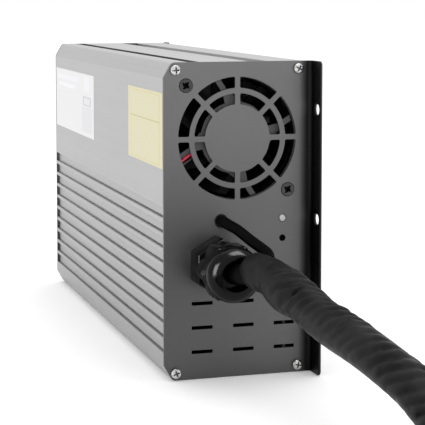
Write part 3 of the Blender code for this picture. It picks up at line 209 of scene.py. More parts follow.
@dataclass(frozen=True)
class DarkSheet:
    """Grey-coated sheet: the eye sees fine-grained dark grey; painted shade darkens it toward the foot and
    into the fold.
    """

    name: str = "grey_coated_sheet"
    top: str = "777778"
    middle: str = "676768"
    foot: str = "5E5E5F"
    # turn and fold are the colours of the painted shade across the bend and the flange's inner face
    turn: str = "B4B4B4"
    fold: str = "5A5A5A"
    roughness: float = 0.4
    metallic: float = 1.0
    grain_size: float = 0.0006
    height: float = 0.1477
    fold_start: float = 0.0296
    fold_end: float = 0.0366

    def make(self) -> Material:
        """Builds the material."""
        board = NodeBoard(self.name, self.middle, self.roughness, self.metallic)
        fine = 1 / self.grain_size
        grain = board.grain(board.place((fine, fine, fine)), 2.0)
        clouds = board.grain(board.place((30, 30, 30)), 3.0)
        # painted shade: lighter at the top, darker toward the foot
        fall = board.tint(board.along("Z", 0.0, self.height),
                          [(0.0, self.foot), (0.5, self.middle), (1.0, self.top)])
        # painted shade in the fold: the colour darkens across the bend and the flange's inner face, and
        # clears again at fold_end
        corner = board.tint(board.along("X", self.fold_start, self.fold_end),
                            [(0.0, "FFFFFF"), (0.35, self.turn), (0.6, self.fold), (0.94, self.fold),
                             (1.0, "FFFFFF")])
        mottle = board.tint(clouds, [(0.3, "F8F8F8"), (0.7, "FFFFFF")])
        board.feed("Base Color", board.blend(board.blend(fall, corner), mottle))
        board.feed("Roughness", board.spread(grain, self.roughness - 0.04, self.roughness + 0.06))
        board.relief(grain, 0.06, 0.0001)
        return board.material


@dataclass(frozen=True)
class PlatedSteel:
    """Plated fixings and contacts: the eye sees bright metal with a little handling haze."""

    name: str
    colour: str = "E4E4E2"
    roughness: float = 0.2
    haze: float = 0.12

    def make(self) -> Material:
        """Builds the material."""
        board = NodeBoard(self.name, self.colour, self.roughness, 1.0)
        haze = board.grain(board.place((900, 900, 900)), 3.0)
        board.feed("Roughness", board.spread(haze, self.roughness, self.roughness + self.haze))
        return board.material


@dataclass(frozen=True)
class MouldedPlastic:
    """Moulded plastic: the eye sees one even colour, soft or sharp gloss and the mould's fine texture."""

    name: str
    colour: str = "0E0E0F"
    roughness: float = 0.3
    coat: float = 0.0
    texture: float = 0.0009
    relief: float = 0.05
    specular: float = 0.5
    coat_roughness: float = 0.12

    def make(self) -> Material:
        """Builds the material."""
        board = NodeBoard(self.name, self.colour, self.roughness)
        board.set("Coat Weight", self.coat)
        board.set("Coat Roughness", self.coat_roughness)
        board.set("Specular IOR Level", self.specular)
        fine = 1 / self.texture
        grain = board.grain(board.place((fine, fine, fine)), 2.0)
        board.feed("Roughness", board.spread(grain, self.roughness - 0.02, self.roughness + 0.05))
        board.relief(grain, self.relief, 0.0001)
        return board.material


@dataclass(frozen=True)
class WrappedSleeve:
    """The lead's soft sleeve: the eye sees black film with fine creases round it and a paler bloom."""

    name: str = "wrapped_sleeve"
    colour: str = "131314"
    bloom: str = "262627"
    roughness: float = 0.42
    specular: float = 0.12

    def make(self) -> Material:
        """Builds the material."""
        board = NodeBoard(self.name, self.colour, self.roughness)
        board.set("Specular IOR Level", self.specular)
        creases = board.grain(board.place((7, 26, 1), "UV"), 4.0, 0.6)
        clouds = board.grain(board.place((3, 5, 1), "UV"), 3.0)
        board.feed("Base Color", board.tint(clouds, [(0.35, self.colour), (0.7, self.bloom)]))
        board.feed("Roughness", board.spread(clouds, self.roughness - 0.06, self.roughness + 0.14))
        board.relief(creases, 0.25, 0.0006)
        return board.material


@dataclass(frozen=True)
class MilkyLens:
    """The lamp's diffusing lens: the eye sees a pale, slightly clouded dome with a small highlight."""

    name: str = "milky_lens"
    colour: str = "C9C9C6"
    cloud: str = "BFBFBC"
    roughness: float = 0.28
    scatter: float = 0.3
    scatter_reach: float = 0.001

    def make(self) -> Material:
        """Builds the material."""
        board = NodeBoard(self.name, self.colour, self.roughness)
        board.set("Subsurface Weight", self.scatter)
        board.set("Subsurface Radius", (self.scatter_reach, self.scatter_reach, self.scatter_reach))
        clouds = board.grain(board.place((600, 600, 600)), 2.0)
        board.feed("Base Color", board.tint(clouds, [(0.3, self.cloud), (0.7, self.colour)]))
        return board.material


@dataclass(frozen=True)
class CircuitBoard:
    """Solder mask: the eye sees deep green with paler tracks under it."""

    name: str = "solder_mask"
    mask: str = "12462A"
    track: str = "1E6A3E"
    roughness: float = 0.35

    def make(self) -> Material:
        """Builds the material."""
        board = NodeBoard(self.name, self.mask, self.roughness)
        cells = board.add("TexVoronoi", {"Vector": board.place((1, 160, 160)), "Scale": 1.0},
                          feature="DISTANCE_TO_EDGE").outputs["Distance"]
        board.feed("Base Color", board.tint(cells, [(0.08, self.track), (0.12, self.mask)]))
        return board.material


@dataclass(frozen=True)
class Winding:
    """Enamelled copper wire: the eye sees close red-brown turns with light on each, and painted shade in the
    gaps between them.
    """

    name: str = "enamelled_copper"
    colour: str = "B4622E"
    groove: str = "5A2C14"
    roughness: float = 0.3
    turns_scale: float = 220.0

    def make(self) -> Material:
        """Builds the material."""
        board = NodeBoard(self.name, self.colour, self.roughness, 0.8)
        turns = board.add("TexWave", {"Vector": board.place(), "Scale": self.turns_scale},
                          bands_direction="Z").outputs["Fac"]
        # painted shade: the wave pattern darkens the gaps between the turns with the groove colour
        board.feed("Base Color", board.tint(turns, [(0.1, self.groove), (0.6, self.colour)]))
        board.relief(turns, 0.4, 0.0003)
        return board.material


@dataclass(frozen=True)
class Panel:
    """A blank panel of a sticker, as shares of the sticker's width and height."""

    across: float
    up: float
    half_width: float
    half_height: float
    colour: str


@dataclass(frozen=True)
class Sticker:
    """A vinyl sticker: the eye sees a flat pale field with a few blank panels and a satin surface."""

    name: str
    field_colour: str
    panels: tuple[Panel, ...]

    def make(self) -> Material:
        """Builds the material."""
        board = NodeBoard(self.name, self.field_colour, 0.5)
        board.set("Specular IOR Level", 0.2)
        split = board.add("SeparateXYZ", {"Vector": board.place(source="UV")}).outputs
        colour = board.add("RGB").outputs["Color"]
        colour.default_value = srgb(self.field_colour)
        for panel in self.panels:
            masks = [self.band(board, split["X"], panel.across, panel.half_width),
                     self.band(board, split["Y"], panel.up, panel.half_height)]
            both = board.add("Math", operation="MULTIPLY")
            for index, mask in enumerate(masks):
                board.tree.links.new(mask, both.inputs[index])
            colour = board.blend(colour, srgb(panel.colour), both.outputs["Value"], "MIX")
        board.feed("Base Color", colour)
        return board.material

    def band(self, board: NodeBoard, source: NodeSocket, middle: float,
             half: float) -> NodeSocket:
        """One where a value is within half a panel's size of its middle, and otherwise zero."""
        node = board.add("Math", operation="COMPARE")
        board.tree.links.new(source, node.inputs[0])
        node.inputs[1].default_value = middle
        node.inputs[2].default_value = half
        return node.outputs["Value"]


class Finishes:
    """Every finish of the charger, each made once."""

    def __init__(self) -> None:
        """Builds the materials."""
        makers = {
            "fins": Extrusion("satin_drawn_aluminium"),
            "plain": Extrusion("plain_drawn_aluminium", "B9B9BA", "98989A", 0.42),
            # shaded_top_groove: a dark metal given to the top groove as painted shadow
            "groove": Extrusion("shaded_top_groove", "5C5C5D", "5C5C5D", 0.5),
            "sheet": DarkSheet(),
            "screw": PlatedSteel("nickel_plated_screw", "D2D2D0"),
            "black_screw": PlatedSteel("blackened_screw", "4A4A4B", 0.3),
            "gland": MouldedPlastic("glossy_black_nylon", "030303", 0.16, texture=0.002, relief=0.02,
                                    specular=0.15),
            "dull": MouldedPlastic("matt_black_plastic", "1A1A1B", 0.5),
            # shaded_recess: a darker metal given to the screws' cross recess as painted shade
            "recess": PlatedSteel("shaded_recess", "6E6E6E", 0.4),
            # the dark lamp's own black; in the fan screws' cross recess the same near-black is painted shade
            "unlit": MouldedPlastic("dark_lens_and_painted_recess_shade", "020202", 0.6, relief=0.0, specular=0.05),
            # painted light: this grey stands in for strong light on the fan frame's front faces
            "fan": MouldedPlastic("fan_frame_painted_light_grey", "5E5E5F", 0.5, specular=0.3),
            # the blades' own black, and painted shade on the fan frame's sideways faces
            "blades": MouldedPlastic("fan_blade_black_and_side_shade", "070708", 0.5, specular=0.15),
            "wire_red": MouldedPlastic("red_wire_skin", "D81E3C", 0.35, coat=0.2),
            "wire_black": MouldedPlastic("black_wire_skin", "111112", 0.35, coat=0.2),
            "jacket": MouldedPlastic("black_cable_jacket", "050506", 0.45, texture=0.0012, relief=0.06,
                                     specular=0.06),
            "rubber": MouldedPlastic("seal_rubber", "171717", 0.7),
            "sleeve": WrappedSleeve(),
            "lens": MilkyLens(),
            "brass": PlatedSteel("brass_contact", "C9A24B", 0.25),
            "steel": PlatedSteel("motor_steel", "9A9A9C", 0.3),
            "board": CircuitBoard(),
            "laminate": MouldedPlastic("bare_board_edge", "B9B8A8", 0.6),
            "ferrite": MouldedPlastic("sintered_ferrite", "2B2B2D", 0.6),
            "copper": Winding(),
            "capacitor": MouldedPlastic("capacitor_sleeve", "1C2433", 0.3, coat=0.3),
            "white_sticker": Sticker("white_vinyl", "E2E2E3", (
                Panel(0.82, 0.84, 0.07, 0.12, "E7E7E9"), Panel(0.83, 0.565, 0.10, 0.075, "C9C9CB"),
                Panel(0.83, 0.565, 0.07, 0.05, "DEDEE0"), Panel(0.83, 0.27, 0.13, 0.20, "DADADC"),
                Panel(0.33, 0.87, 0.28, 0.035, "E8E8EA"), Panel(0.30, 0.74, 0.23, 0.03, "EAEAEC"))),
            "yellow_sticker": Sticker("yellow_vinyl", "D6D1B1", (
                Panel(0.5, 0.965, 0.42, 0.006, "D2C894"), Panel(0.5, 0.035, 0.42, 0.006, "D2C894"),
                Panel(0.08, 0.5, 0.008, 0.465, "D2C894"), Panel(0.92, 0.5, 0.008, 0.465, "D2C894"),
                Panel(0.5, 0.60, 0.42, 0.006, "BDB27C"))),
        }
        self.made = {key: maker.make() for key, maker in makers.items()}

    def paint(self, obj: Object, key: str) -> None:
        """Gives a piece one finish."""
        obj.data.materials.clear()
        obj.data.materials.append(self.made[key])

    def paint_part(self, obj: Object, key: str, test: Callable[[Vector, Vector], bool]) -> None:
        """Gives a second finish to the faces that pass a test of centre and normal."""
        obj.data.materials.append(self.made[key])
        last = len(obj.data.materials) - 1
        for face in obj.data.polygons:
            if test(face.center, face.normal):
                face.material_index = last


# Helpers for pieces


class Facing(Enum):
    """The way that a turned piece's own top points, as a rotation."""

    FRONT = (math.pi / 2, 0.0, 0.0)
    BACK = (-math.pi / 2, 0.0, 0.0)
    UP = (0.0, 0.0, 0.0)


def on_plate(x: float, y: float, z: float) -> Vector:
    """The world place of a point measured from the plate's corner."""
    return PLATE_CORNER + Vector((x, y, z))


def deselect() -> None:
    """Leaves nothing selected and no edit mode open."""
    if bpy.context.mode != "OBJECT":
        bpy.ops.object.mode_set(mode="OBJECT")
    bpy.ops.object.select_all(action="DESELECT")


def activate(obj: Object) -> None:
    """Selects one object alone and makes it the active one."""
    deselect()
    obj.select_set(True)
    bpy.context.view_layer.objects.active = obj


def settle(obj: Object) -> None:
    """Puts a piece's place, turn and scale into its mesh."""
    activate(obj)
    bpy.ops.object.transform_apply(location=True, rotation=True, scale=True)


def cylinder(name: str, radius: float, low: float, high: float, sides: int, at: Vector = Vector(),
             facing: Facing = Facing.UP) -> Object:
    """Adds a closed cylinder.

    Args:
        name: The object's name.
        radius: Its radius.
        low: Where it begins on its own axis.
        high: Where it ends on its own axis.
        sides: How many sides it has.
        at: The place of its axis' zero.
        facing: The way that its axis points.

    Returns:
        The object, with its place in its mesh.
    """
    deselect()
    bpy.ops.mesh.primitive_cylinder_add(vertices=sides, radius=radius, depth=high - low,
                                        location=(0, 0, (low + high) / 2))
    obj = bpy.context.active_object
    obj.name = name
    settle(obj)
    obj.rotation_euler = facing.value
    obj.location = at
    settle(obj)
    return obj


def box(name: str, low: Vector, high: Vector) -> Object:
    """Adds a box between two corners."""
    deselect()
    bpy.ops.mesh.primitive_cube_add(size=1, location=(low + high) / 2, scale=high - low)
    obj = bpy.context.active_object
    obj.name = name
    settle(obj)
    return obj


def open_mesh(obj: Object, kind: str) -> bmesh.types.BMesh:
    """Opens edit mode for one kind of element, with nothing selected, and gives the mesh."""
    activate(obj)
    bpy.ops.object.mode_set(mode="EDIT")
    bpy.ops.mesh.select_mode(type=kind)
    bpy.ops.mesh.select_all(action="DESELECT")
    return bmesh.from_edit_mesh(obj.data)


def pick_faces(obj: Object, test: Callable[[Vector, Vector], bool]) -> int:
    """Opens edit mode with the faces selected that pass a test of centre and normal.

    Args:
        obj: The piece.
        test: Takes a face's centre and normal.

    Returns:
        How many faces are selected.
    """
    shape = open_mesh(obj, "FACE")
    for face in shape.faces:
        face.select_set(test(face.calc_center_median(), face.normal))
    bmesh.update_edit_mesh(obj.data)
    return sum(face.select for face in shape.faces)


def pick_edges(obj: Object, test: Callable[[Vector, Vector], bool]) -> None:
    """Opens edit mode with the edges selected whose two ends pass a test."""
    shape = open_mesh(obj, "EDGE")
    for edge in shape.edges:
        edge.select_set(test(edge.verts[0].co, edge.verts[1].co))
    bmesh.update_edit_mesh(obj.data)


def merge(obj: Object, distance: float = 0.000002, flat: float = 0.01) -> None:
    """Merges doubled points, and faces whose angle to each other is under the flat one."""
    activate(obj)
    bpy.ops.object.mode_set(mode="EDIT")
    bpy.ops.mesh.select_all(action="SELECT")
    bpy.ops.mesh.remove_doubles(threshold=distance)
    bpy.ops.mesh.dissolve_limited(angle_limit=flat)
    bpy.ops.object.mode_set(mode="OBJECT")


def combine(obj: Object, tool: Object, operation: str) -> None:
    """Joins, cuts or keeps what two pieces share, and removes the second one."""
    modifier = obj.modifiers.new(operation.lower(), "BOOLEAN")
    modifier.operation = operation
    modifier.solver = "EXACT"
    modifier.object = tool
    activate(obj)
    bpy.ops.object.modifier_apply(modifier=modifier.name)
    bpy.data.objects.remove(tool, do_unlink=True)


def soften(obj: Object, width: float, segments: int = 2, angle: float = 35.0) -> None:
    """Rounds a piece's sharp edges by a bevel of that width."""
    modifier = obj.modifiers.new("edges", "BEVEL")
    modifier.width = width
    modifier.segments = segments
    modifier.limit_method = "ANGLE"
    modifier.angle_limit = math.radians(angle)
    modifier.use_clamp_overlap = True
    modifier.harden_normals = False
    activate(obj)
    bpy.ops.object.modifier_apply(modifier=modifier.name)


def smooth(obj: Object, angle: float = 32.0) -> None:
    """Shades round faces smooth and keeps real edges."""
    activate(obj)
    bpy.ops.object.shade_smooth_by_angle(angle=math.radians(angle))
    deselect()


def level(obj: Object) -> None:
    """Lets large flat faces keep their own normals, so that the light on them is even."""
    modifier = obj.modifiers.new("even_light", "WEIGHTED_NORMAL")
    modifier.keep_sharp = True
    activate(obj)
    bpy.ops.object.modifier_apply(modifier=modifier.name)
    deselect()


def repeat(obj: Object, name: str, matrix: Matrix) -> Object:
    """A copy of a piece with its own mesh, moved by a matrix."""
    mesh = obj.data.copy()
    mesh.transform(matrix)
    copied = bpy.data.objects.new(name, mesh)
    bpy.context.scene.collection.objects.link(copied)
    return copied


def mount(obj: Object, body: str, slot: str, *nodes: str) -> None:
    """Lets a finished piece ride on a body, in place of CAD nodes.

    Args:
        obj: The piece.
        body: The CAD body.
        slot: The record's material slot; not used.
        nodes: The CAD nodes that it stands for.
    """
    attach(obj, body)
    if nodes:
        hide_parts(*nodes)
    LOG.info("%s: %d faces", obj.name, len(obj.data.polygons))


def refined(node: str, name: str, width: float, segments: int = 2) -> Object:
    """A copy of a CAD node with its points merged and its sharp edges rounded.

    Args:
        node: The CAD node.
        name: The copy's name.
        width: The width of the rounded edges.
        segments: How many faces go round each edge.

    Returns:
        The copy.
    """
    copied = repeat(frame["nodes"][node], name, Matrix.Identity(4))
    merge(copied)
    soften(copied, width, segments)
    smooth(copied)
    level(copied)
    return copied


# Cords


def clamp(value: float) -> float:
    """The value, kept between zero and one."""
    return min(1.0, max(0.0, value))


@dataclass
class Route:
    """A smooth line through points, from which a round cord is made."""

    points: list[Vector]
    steps: int = 24

    def fine(self, spacing: float) -> list[Vector]:
        """Points one spacing apart along the smooth line.

        Args:
            spacing: The distance between them in metres.

        Returns:
            The points, ends included.
        """
        route = self.points
        padded = [route[0] * 2 - route[1]] + route + [route[-1] * 2 - route[-2]]
        dense = []
        for index in range(1, len(padded) - 2):
            before, start, end, after = padded[index - 1:index + 3]
            for step in range(self.steps):
                t = step / self.steps
                slope = (end - before) * t
                bend = (2 * before - 5 * start + 4 * end - after) * t * t
                sway = (3 * start - before - 3 * end + after) * t ** 3
                dense.append(0.5 * (2 * start + slope + bend + sway))
        dense.append(route[-1])
        lengths = [0.0]
        for a, b in zip(dense, dense[1:]):
            lengths.append(lengths[-1] + (b - a).length)
        count = max(2, round(lengths[-1] / spacing))
        picked, place = [], 0
        for step in range(count + 1):
            target = lengths[-1] * step / count
            while place < len(dense) - 2 and lengths[place + 1] < target:
                place += 1
            span = lengths[place + 1] - lengths[place]
            share = 0.0 if span == 0 else min(1.0, (target - lengths[place]) / span)
            picked.append(dense[place].lerp(dense[place + 1], share))
        return picked


def measure(points: list[Vector]) -> float:
    """The length of a line through points."""
    return sum((b - a).length for a, b in zip(points, points[1:]))


def tube(name: str, points: list[Vector], radius: Callable[[float, float], float], sides: int,
         closed: bool = True) -> Object:
    """A round skin along a line, with a UV map whose u goes round and whose v goes along.

    Args:
        name: The object's name.
        points: The line's points.
        radius: Takes the length so far and the turn, and gives the skin's distance from the line.
        sides: How many faces go round.
        closed: Whether the ends are filled.

    Returns:
        The object.
    """
    shape = bmesh.new()
    layer = shape.loops.layers.uv.new("UVMap")
    rings, walked = [], [0.0]
    for a, b in zip(points, points[1:]):
        walked.append(walked[-1] + (b - a).length)
    tangents = []
    for index in range(len(points)):
        ahead = points[min(index + 1, len(points) - 1)]
        behind = points[max(index - 1, 0)]
        tangents.append((ahead - behind).normalized())
    side = tangents[0].cross(Vector((0, 0, 1))).normalized()
    for index, point in enumerate(points):
        if index:
            side = (tangents[index - 1].rotation_difference(tangents[index]) @ side).normalized()
            side = (side - tangents[index] * side.dot(tangents[index])).normalized()
        up = side.cross(tangents[index])
        ring = []
        for step in range(sides):
            turn = 2 * math.pi * step / sides
            reach = radius(walked[index], turn)
            ring.append(shape.verts.new(point + (side * math.cos(turn) + up * math.sin(turn)) * reach))
        rings.append(ring)
    for index in range(len(rings) - 1):
        for step in range(sides):
            after = (step + 1) % sides
            face = shape.faces.new((rings[index][step], rings[index][after], rings[index + 1][after],
                                    rings[index + 1][step]))
            turns = (step, step + 1, step + 1, step)
            ways = (index, index, index + 1, index + 1)
            for loop, turn, way in zip(face.loops, turns, ways):
                loop[layer].uv = (turn / sides, walked[way] / METRES_PER_V)
    if closed:
        shape.faces.new(rings[0])
        shape.faces.new(rings[-1][::-1])
    bmesh.ops.recalc_face_normals(shape, faces=shape.faces)
    mesh = bpy.data.meshes.new(name)
    shape.to_mesh(mesh)
    shape.free()
    obj = bpy.data.objects.new(name, mesh)
    bpy.context.scene.collection.objects.link(obj)
    smooth(obj, 60)
    return obj


def even(value: float) -> Callable[[float, float], float]:
    """A skin that is everywhere the same distance from its line."""
    return lambda walked, turn: value


# Sub-assemblies


@dataclass
class Studio:
    """The photograph's camera, a pale floor and soft light."""

    focal: float = 1517.4
    frame_side: float = 425.0
    centre_x: float = 212.5
    centre_y: float = 112.2
    stand: Place = (-0.1814, -0.6714, 0.1817)
    yaw: float = 0.2963
    pitch: float = -0.08
    sensor: float = 36.0
    glint_power: float = 16.0
    glint_target: Place = (0.0251, -0.03, 0.0540)
    softbox_place: Place = (0.1, 0.1, 1.5)
    softbox_target: Place = (0, 0, 0.07)
    softbox_power: float = 6.0
    softbox_size: float = 1.4
    floor_side: float = 14.0
    floor_drop: float = 0.0002
    floor_glow: float = 0.12
    glints: list[tuple[Place, float]] = field(default_factory=lambda: [
        ((0.258, -0.608, 0.784), 0.55), ((-0.677, -0.743, 0.225), 0.5)])

    def build(self) -> None:
        """Sets the camera, floor, world and lamps."""
        self.camera()
        self.floor()
        self.world()
        self.lamp("overhead_softbox", self.softbox_place, self.softbox_power, self.softbox_size,
                  Vector(self.softbox_target))
        shiny = bpy.data.collections.new(SHINY)
        for number, (place, size) in enumerate(self.glints, 1):
            lamp = self.lamp(f"glint_{number}", place, self.glint_power, size, on_plate(*self.glint_target))
            lamp.visible_diffuse = False
            lamp.light_linking.receiver_collection = shiny
        scene = bpy.context.scene
        scene.view_settings.view_transform = "Standard"
        scene.view_settings.look = "None"

    def camera(self) -> None:
        """Puts the camera where the photograph's was."""
        data = bpy.data.cameras.new("photo_camera")
        data.sensor_width = self.sensor
        data.lens = self.sensor * self.focal / self.frame_side
        data.shift_x = (self.frame_side / 2 - self.centre_x) / self.frame_side
        data.shift_y = (self.centre_y - self.frame_side / 2) / self.frame_side
        data.clip_start = 0.01
        camera = bpy.data.objects.new("photo_camera", data)
        camera.location = PLATE_CORNER + Vector(self.stand)
        camera.rotation_euler = (math.pi / 2 + self.pitch, 0, -self.yaw)
        bpy.context.scene.collection.objects.link(camera)
        bpy.context.scene.camera = camera

    def floor(self) -> None:
        """Adds the pale floor."""
        deselect()
        bpy.ops.mesh.primitive_plane_add(size=self.floor_side, location=(0, 0, -self.floor_drop))
        ground = bpy.context.active_object
        ground.name = "floor"
        board = NodeBoard("white_floor", "FFFFFF", 1.0)
        board.set("Specular IOR Level", 0.0)
        board.set("Emission Color", (1, 1, 1, 1))
        board.set("Emission Strength", self.floor_glow)
        ground.data.materials.append(board.material)

    def world(self) -> None:
        """Gives even light from all round."""
        world = bpy.data.worlds.new("white_room")
        bpy.context.scene.world = world
        world.use_nodes = True
        background = world.node_tree.nodes["Background"]
        background.inputs["Color"].default_value = (1, 1, 1, 1)
        background.inputs["Strength"].default_value = 1.0

    def lamp(self, name: str, place: Place, power: float, size: float, target: Vector) -> Object:
        """Adds a square softbox.

        Args:
            name: Its name.
            place: Where it hangs.
            power: Its power in watts.
            size: Its side.
            target: What it faces.

        Returns:
            The lamp.
        """
        data = bpy.data.lights.new(name, "AREA")
        data.energy = power
        data.size = size
        lamp = bpy.data.objects.new(name, data)
        lamp.location = place
        lamp.rotation_euler = (target - Vector(place)).to_track_quat("-Z", "Y").to_euler()
        bpy.context.scene.collection.objects.link(lamp)
        return lamp


@dataclass
class CaseShells:
    """The finned half, whose grooves look shallower than the model's, and the plain half of the case."""

    edge: float = 0.00025
    groove: float = 0.0031
    lift: float = 0.0016
    top_groove: tuple[Place, Place] = ((-0.0255, -1.0, 0.1460), (-0.0185, 1.0, 0.1486))

    def build(self, finishes: Finishes) -> None:
        """Refines both halves and gives them their metal.

        Args:
            finishes: The charger's materials.
        """
        for node, key, slot in (("left_shell", "fins", "finned_aluminium"),
                                ("right_shell", "plain", "plain_aluminium")):
            obj = refined(node, f"{node}_fine", self.edge, 2)
            finishes.paint(obj, key)
            if node == "left_shell":
                self.raise_grooves(obj)
                # painted shadow: the faces of the top groove get the dark shaded_top_groove metal
                low, high = self.top_groove
                finishes.paint_part(obj, "groove", lambda centre, normal: all(
                    a < value < b for a, value, b in zip(low, centre, high)))
            mount(obj, "case", slot, node)

    def raise_grooves(self, obj: Object) -> None:
        """Moves the floors of the grooves outwards.

        Args:
            obj: The finned half.
        """
        floor_x = PLATE_CORNER.x + self.groove
        picked = pick_faces(obj, lambda centre, normal: normal.x < -0.9 and abs(centre.x - floor_x) < 0.0002)
        if picked:
            bpy.ops.transform.translate(value=(-self.lift, 0, 0))
        bpy.ops.object.mode_set(mode="OBJECT")
        LOG.info("%d groove floors raised", picked)


@dataclass
class EndPlates:
    """The folded front and rear plates with softened edges."""

    edge: float = 0.00018

    def build(self, finishes: Finishes) -> None:
        """Refines both plates and gives them their coat.

        Args:
            finishes: The charger's materials.
        """
        for node in ("front_plate", "rear_plate"):
            obj = refined(node, f"{node}_fine", self.edge, 2)
            finishes.paint(obj, "sheet")
            if node == "rear_plate":
                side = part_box(node)[0].x + 0.0010
                finishes.paint_part(obj, "fins", lambda centre, normal: (
                    centre.x < side and abs(normal.y) < 0.9))
            mount(obj, "case", "grey_paint", node)


@dataclass
class Screws:
    """Pan head screws with a cross recess."""

    head: float = 0.00245
    height: float = 0.0018
    shank: float = 0.0014
    length: float = 0.0100
    cross: float = 0.00080
    reach: float = 0.00190
    depth: float = 0.0011
    sides: int = 32
    crown: float = 0.62
    taper: float = 0.45
    slack: float = 0.0001

    def model(self, finishes: Finishes) -> Object:
        """Models one screw with its head's underside at zero and its top upwards.

        Args:
            finishes: The charger's materials.

        Returns:
            The pattern screw.
        """
        obj = cylinder("screw_pattern", self.head, 0, self.height, self.sides)
        pick_edges(obj, lambda a, b: min(a.z, b.z) > self.height * 0.9)
        bpy.ops.mesh.bevel(offset=self.height * self.crown, segments=5, profile=0.5)
        pick_faces(obj, lambda centre, normal: normal.z < -0.9)
        bpy.ops.mesh.inset(thickness=self.head - self.shank)
        bpy.ops.mesh.extrude_region_move(TRANSFORM_OT_translate={"value": (0, 0, -self.length)})
        bpy.ops.object.mode_set(mode="OBJECT")
        top = self.height + 0.001
        for wide, deep in ((self.reach, self.cross / 2), (self.cross / 2, self.reach)):
            bar = box("recess", Vector((-wide, -deep, self.height - self.depth)), Vector((wide, deep, top)))
            pick_faces(bar, lambda centre, normal: normal.z < -0.9)
            narrowed = (self.taper, 1, 1) if wide > deep else (1, self.taper, 1)
            bpy.ops.transform.resize(value=narrowed)
            bpy.ops.object.mode_set(mode="OBJECT")
            combine(obj, bar, "DIFFERENCE")
        smooth(obj, 40)
        finishes.paint(obj, "screw")
        # painted shade: the floor and walls of the cross recess get the darker shaded_recess metal
        finishes.paint_part(obj, "recess", self.in_recess)
        return obj

    def in_recess(self, centre: Vector, normal: Vector) -> bool:
        """Whether a face of the pattern screw is the floor or a wall of its recess.

        Args:
            centre: The face's centre.
            normal: The face's normal.

        Returns:
            True for a face of the recess.
        """
        floor_z = self.height - self.depth
        if abs(centre.z - floor_z) < self.slack:
            return True
        near, far = sorted((abs(centre.x), abs(centre.y)))
        in_cross = near < self.cross * 0.52 and far < self.reach * 1.02
        return in_cross and floor_z - self.slack < centre.z < self.height and normal.z < 0.98

    def build(self, finishes: Finishes) -> None:
        """Puts a screw in the place of each CAD screw of the plates and the inlet.

        Args:
            finishes: The charger's materials.
        """
        pattern = self.model(finishes)
        nodes = [f"{end}_plate_screws_{index}" for end in ("front", "rear") for index in range(1, 5)]
        nodes += ["inlet_screw_1", "inlet_screw_2"]
        for index, node in enumerate(nodes):
            low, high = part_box(node)
            front = node.startswith("front")
            seat = low.y + self.height if front else high.y - self.height
            middle = Vector(((low.x + high.x) / 2, seat, (low.z + high.z) / 2))
            facing = Facing.FRONT if front else Facing.BACK
            spin = Matrix.Rotation(0.35 + index * 1.3, 4, "Z")
            turn = Matrix.Rotation(facing.value[0], 4, "X")
            obj = repeat(pattern, f"{node}_fine", Matrix.Translation(middle) @ turn @ spin)
            mount(obj, "case", "bright_screw", node)
        bpy.data.objects.remove(pattern, do_unlink=True)


@dataclass
class Gland:
    """The cable gland: a hexagonal collar on the plate and a domed nut round the lead."""

    x: float = 0.0251
    z: float = 0.0540
    flats: float = 0.0240
    thread: float = 0.0099
    bore: float = 0.0074
    collar: float = 0.0117
    neck: float = 0.0103
    neck_depth: float = 0.0120
    nut_end: float = 0.0270
    end: float = 0.0330
    rim: float = 0.0129
    mouth: float = 0.0072
    gap: float = 0.0003
    thread_length: float = 0.0110
    overlap: float = 0.0012
    past: float = 0.001
    corner_share: float = 0.985
    edge: float = 0.0007
    dome_length: float = 0.0034
    dome_round: float = 0.0052

    def rod(self, name: str, radius: float, low: float, high: float, sides: int = 48) -> Object:
        """A round bar on the gland's axis, between two distances in front of the plate."""
        return cylinder(name, radius, low, high, sides, on_plate(self.x, 0, self.z), Facing.FRONT)

    def hexagon(self, name: str, low: float, high: float, turned: bool) -> Object:
        """A six-sided block with its ends turned round at the corners.

        Args:
            name: Its name.
            low: Where it begins in front of the plate.
            high: Where it ends.
            turned: Whether its corners point sideways.

        Returns:
            The block.
        """
        corner = self.flats / math.sqrt(3)
        obj = cylinder(name, corner, low, high, 6)
        obj.rotation_euler = (0, 0, math.pi / 6 if turned else 0)
        settle(obj)
        obj.rotation_euler = Facing.FRONT.value
        obj.location = on_plate(self.x, 0, self.z)
        settle(obj)
        keeper = self.rod("keeper", corner * self.corner_share, low - self.past, high + self.past, 64)
        combine(obj, keeper, "INTERSECT")
        return obj

    def build(self, finishes: Finishes) -> None:
        """Models the collar and the nut.

        Args:
            finishes: The charger's materials.
        """
        collar_end = self.gap + self.collar
        neck_end = collar_end + self.neck_depth
        back = -self.thread_length
        body = self.hexagon("gland_body_fine", self.gap, collar_end, turned=False)
        soften(body, self.edge, 3)
        combine(body, self.rod("thread", self.thread, back, self.gap + self.overlap), "UNION")
        combine(body, self.rod("neck", self.neck, collar_end - self.overlap, neck_end), "UNION")
        combine(body, self.rod("bore", self.bore, back - self.overlap, neck_end + self.overlap), "DIFFERENCE")
        smooth(body)
        finishes.paint(body, "gland")
        mount(body, "case", "black_plastic", "gland_body")
        start = collar_end + self.gap
        nut = self.hexagon("gland_nut_fine", start, self.nut_end - self.overlap, turned=True)
        soften(nut, self.edge, 3)
        dome = self.rod("dome", self.rim, self.nut_end - self.dome_length, self.end, 64)
        front = PLATE_CORNER.y - self.end
        pick_edges(dome, lambda a, b: max(a.y, b.y) < front + 0.0001)
        bpy.ops.mesh.bevel(offset=self.dome_round, segments=8, profile=0.5)
        bpy.ops.object.mode_set(mode="OBJECT")
        combine(nut, dome, "UNION")
        combine(nut, self.rod("mouth", self.mouth, self.nut_end, self.end + self.past), "DIFFERENCE")
        hollow = self.rod("hollow", self.neck + self.gap, start - self.past, neck_end + self.gap)
        combine(nut, hollow, "DIFFERENCE")
        smooth(nut)
        finishes.paint(nut, "gland")
        mount(nut, "case", "black_plastic", "gland_nut")
        for piece in (body, nut):
            bpy.data.collections[SHINY].objects.link(piece)


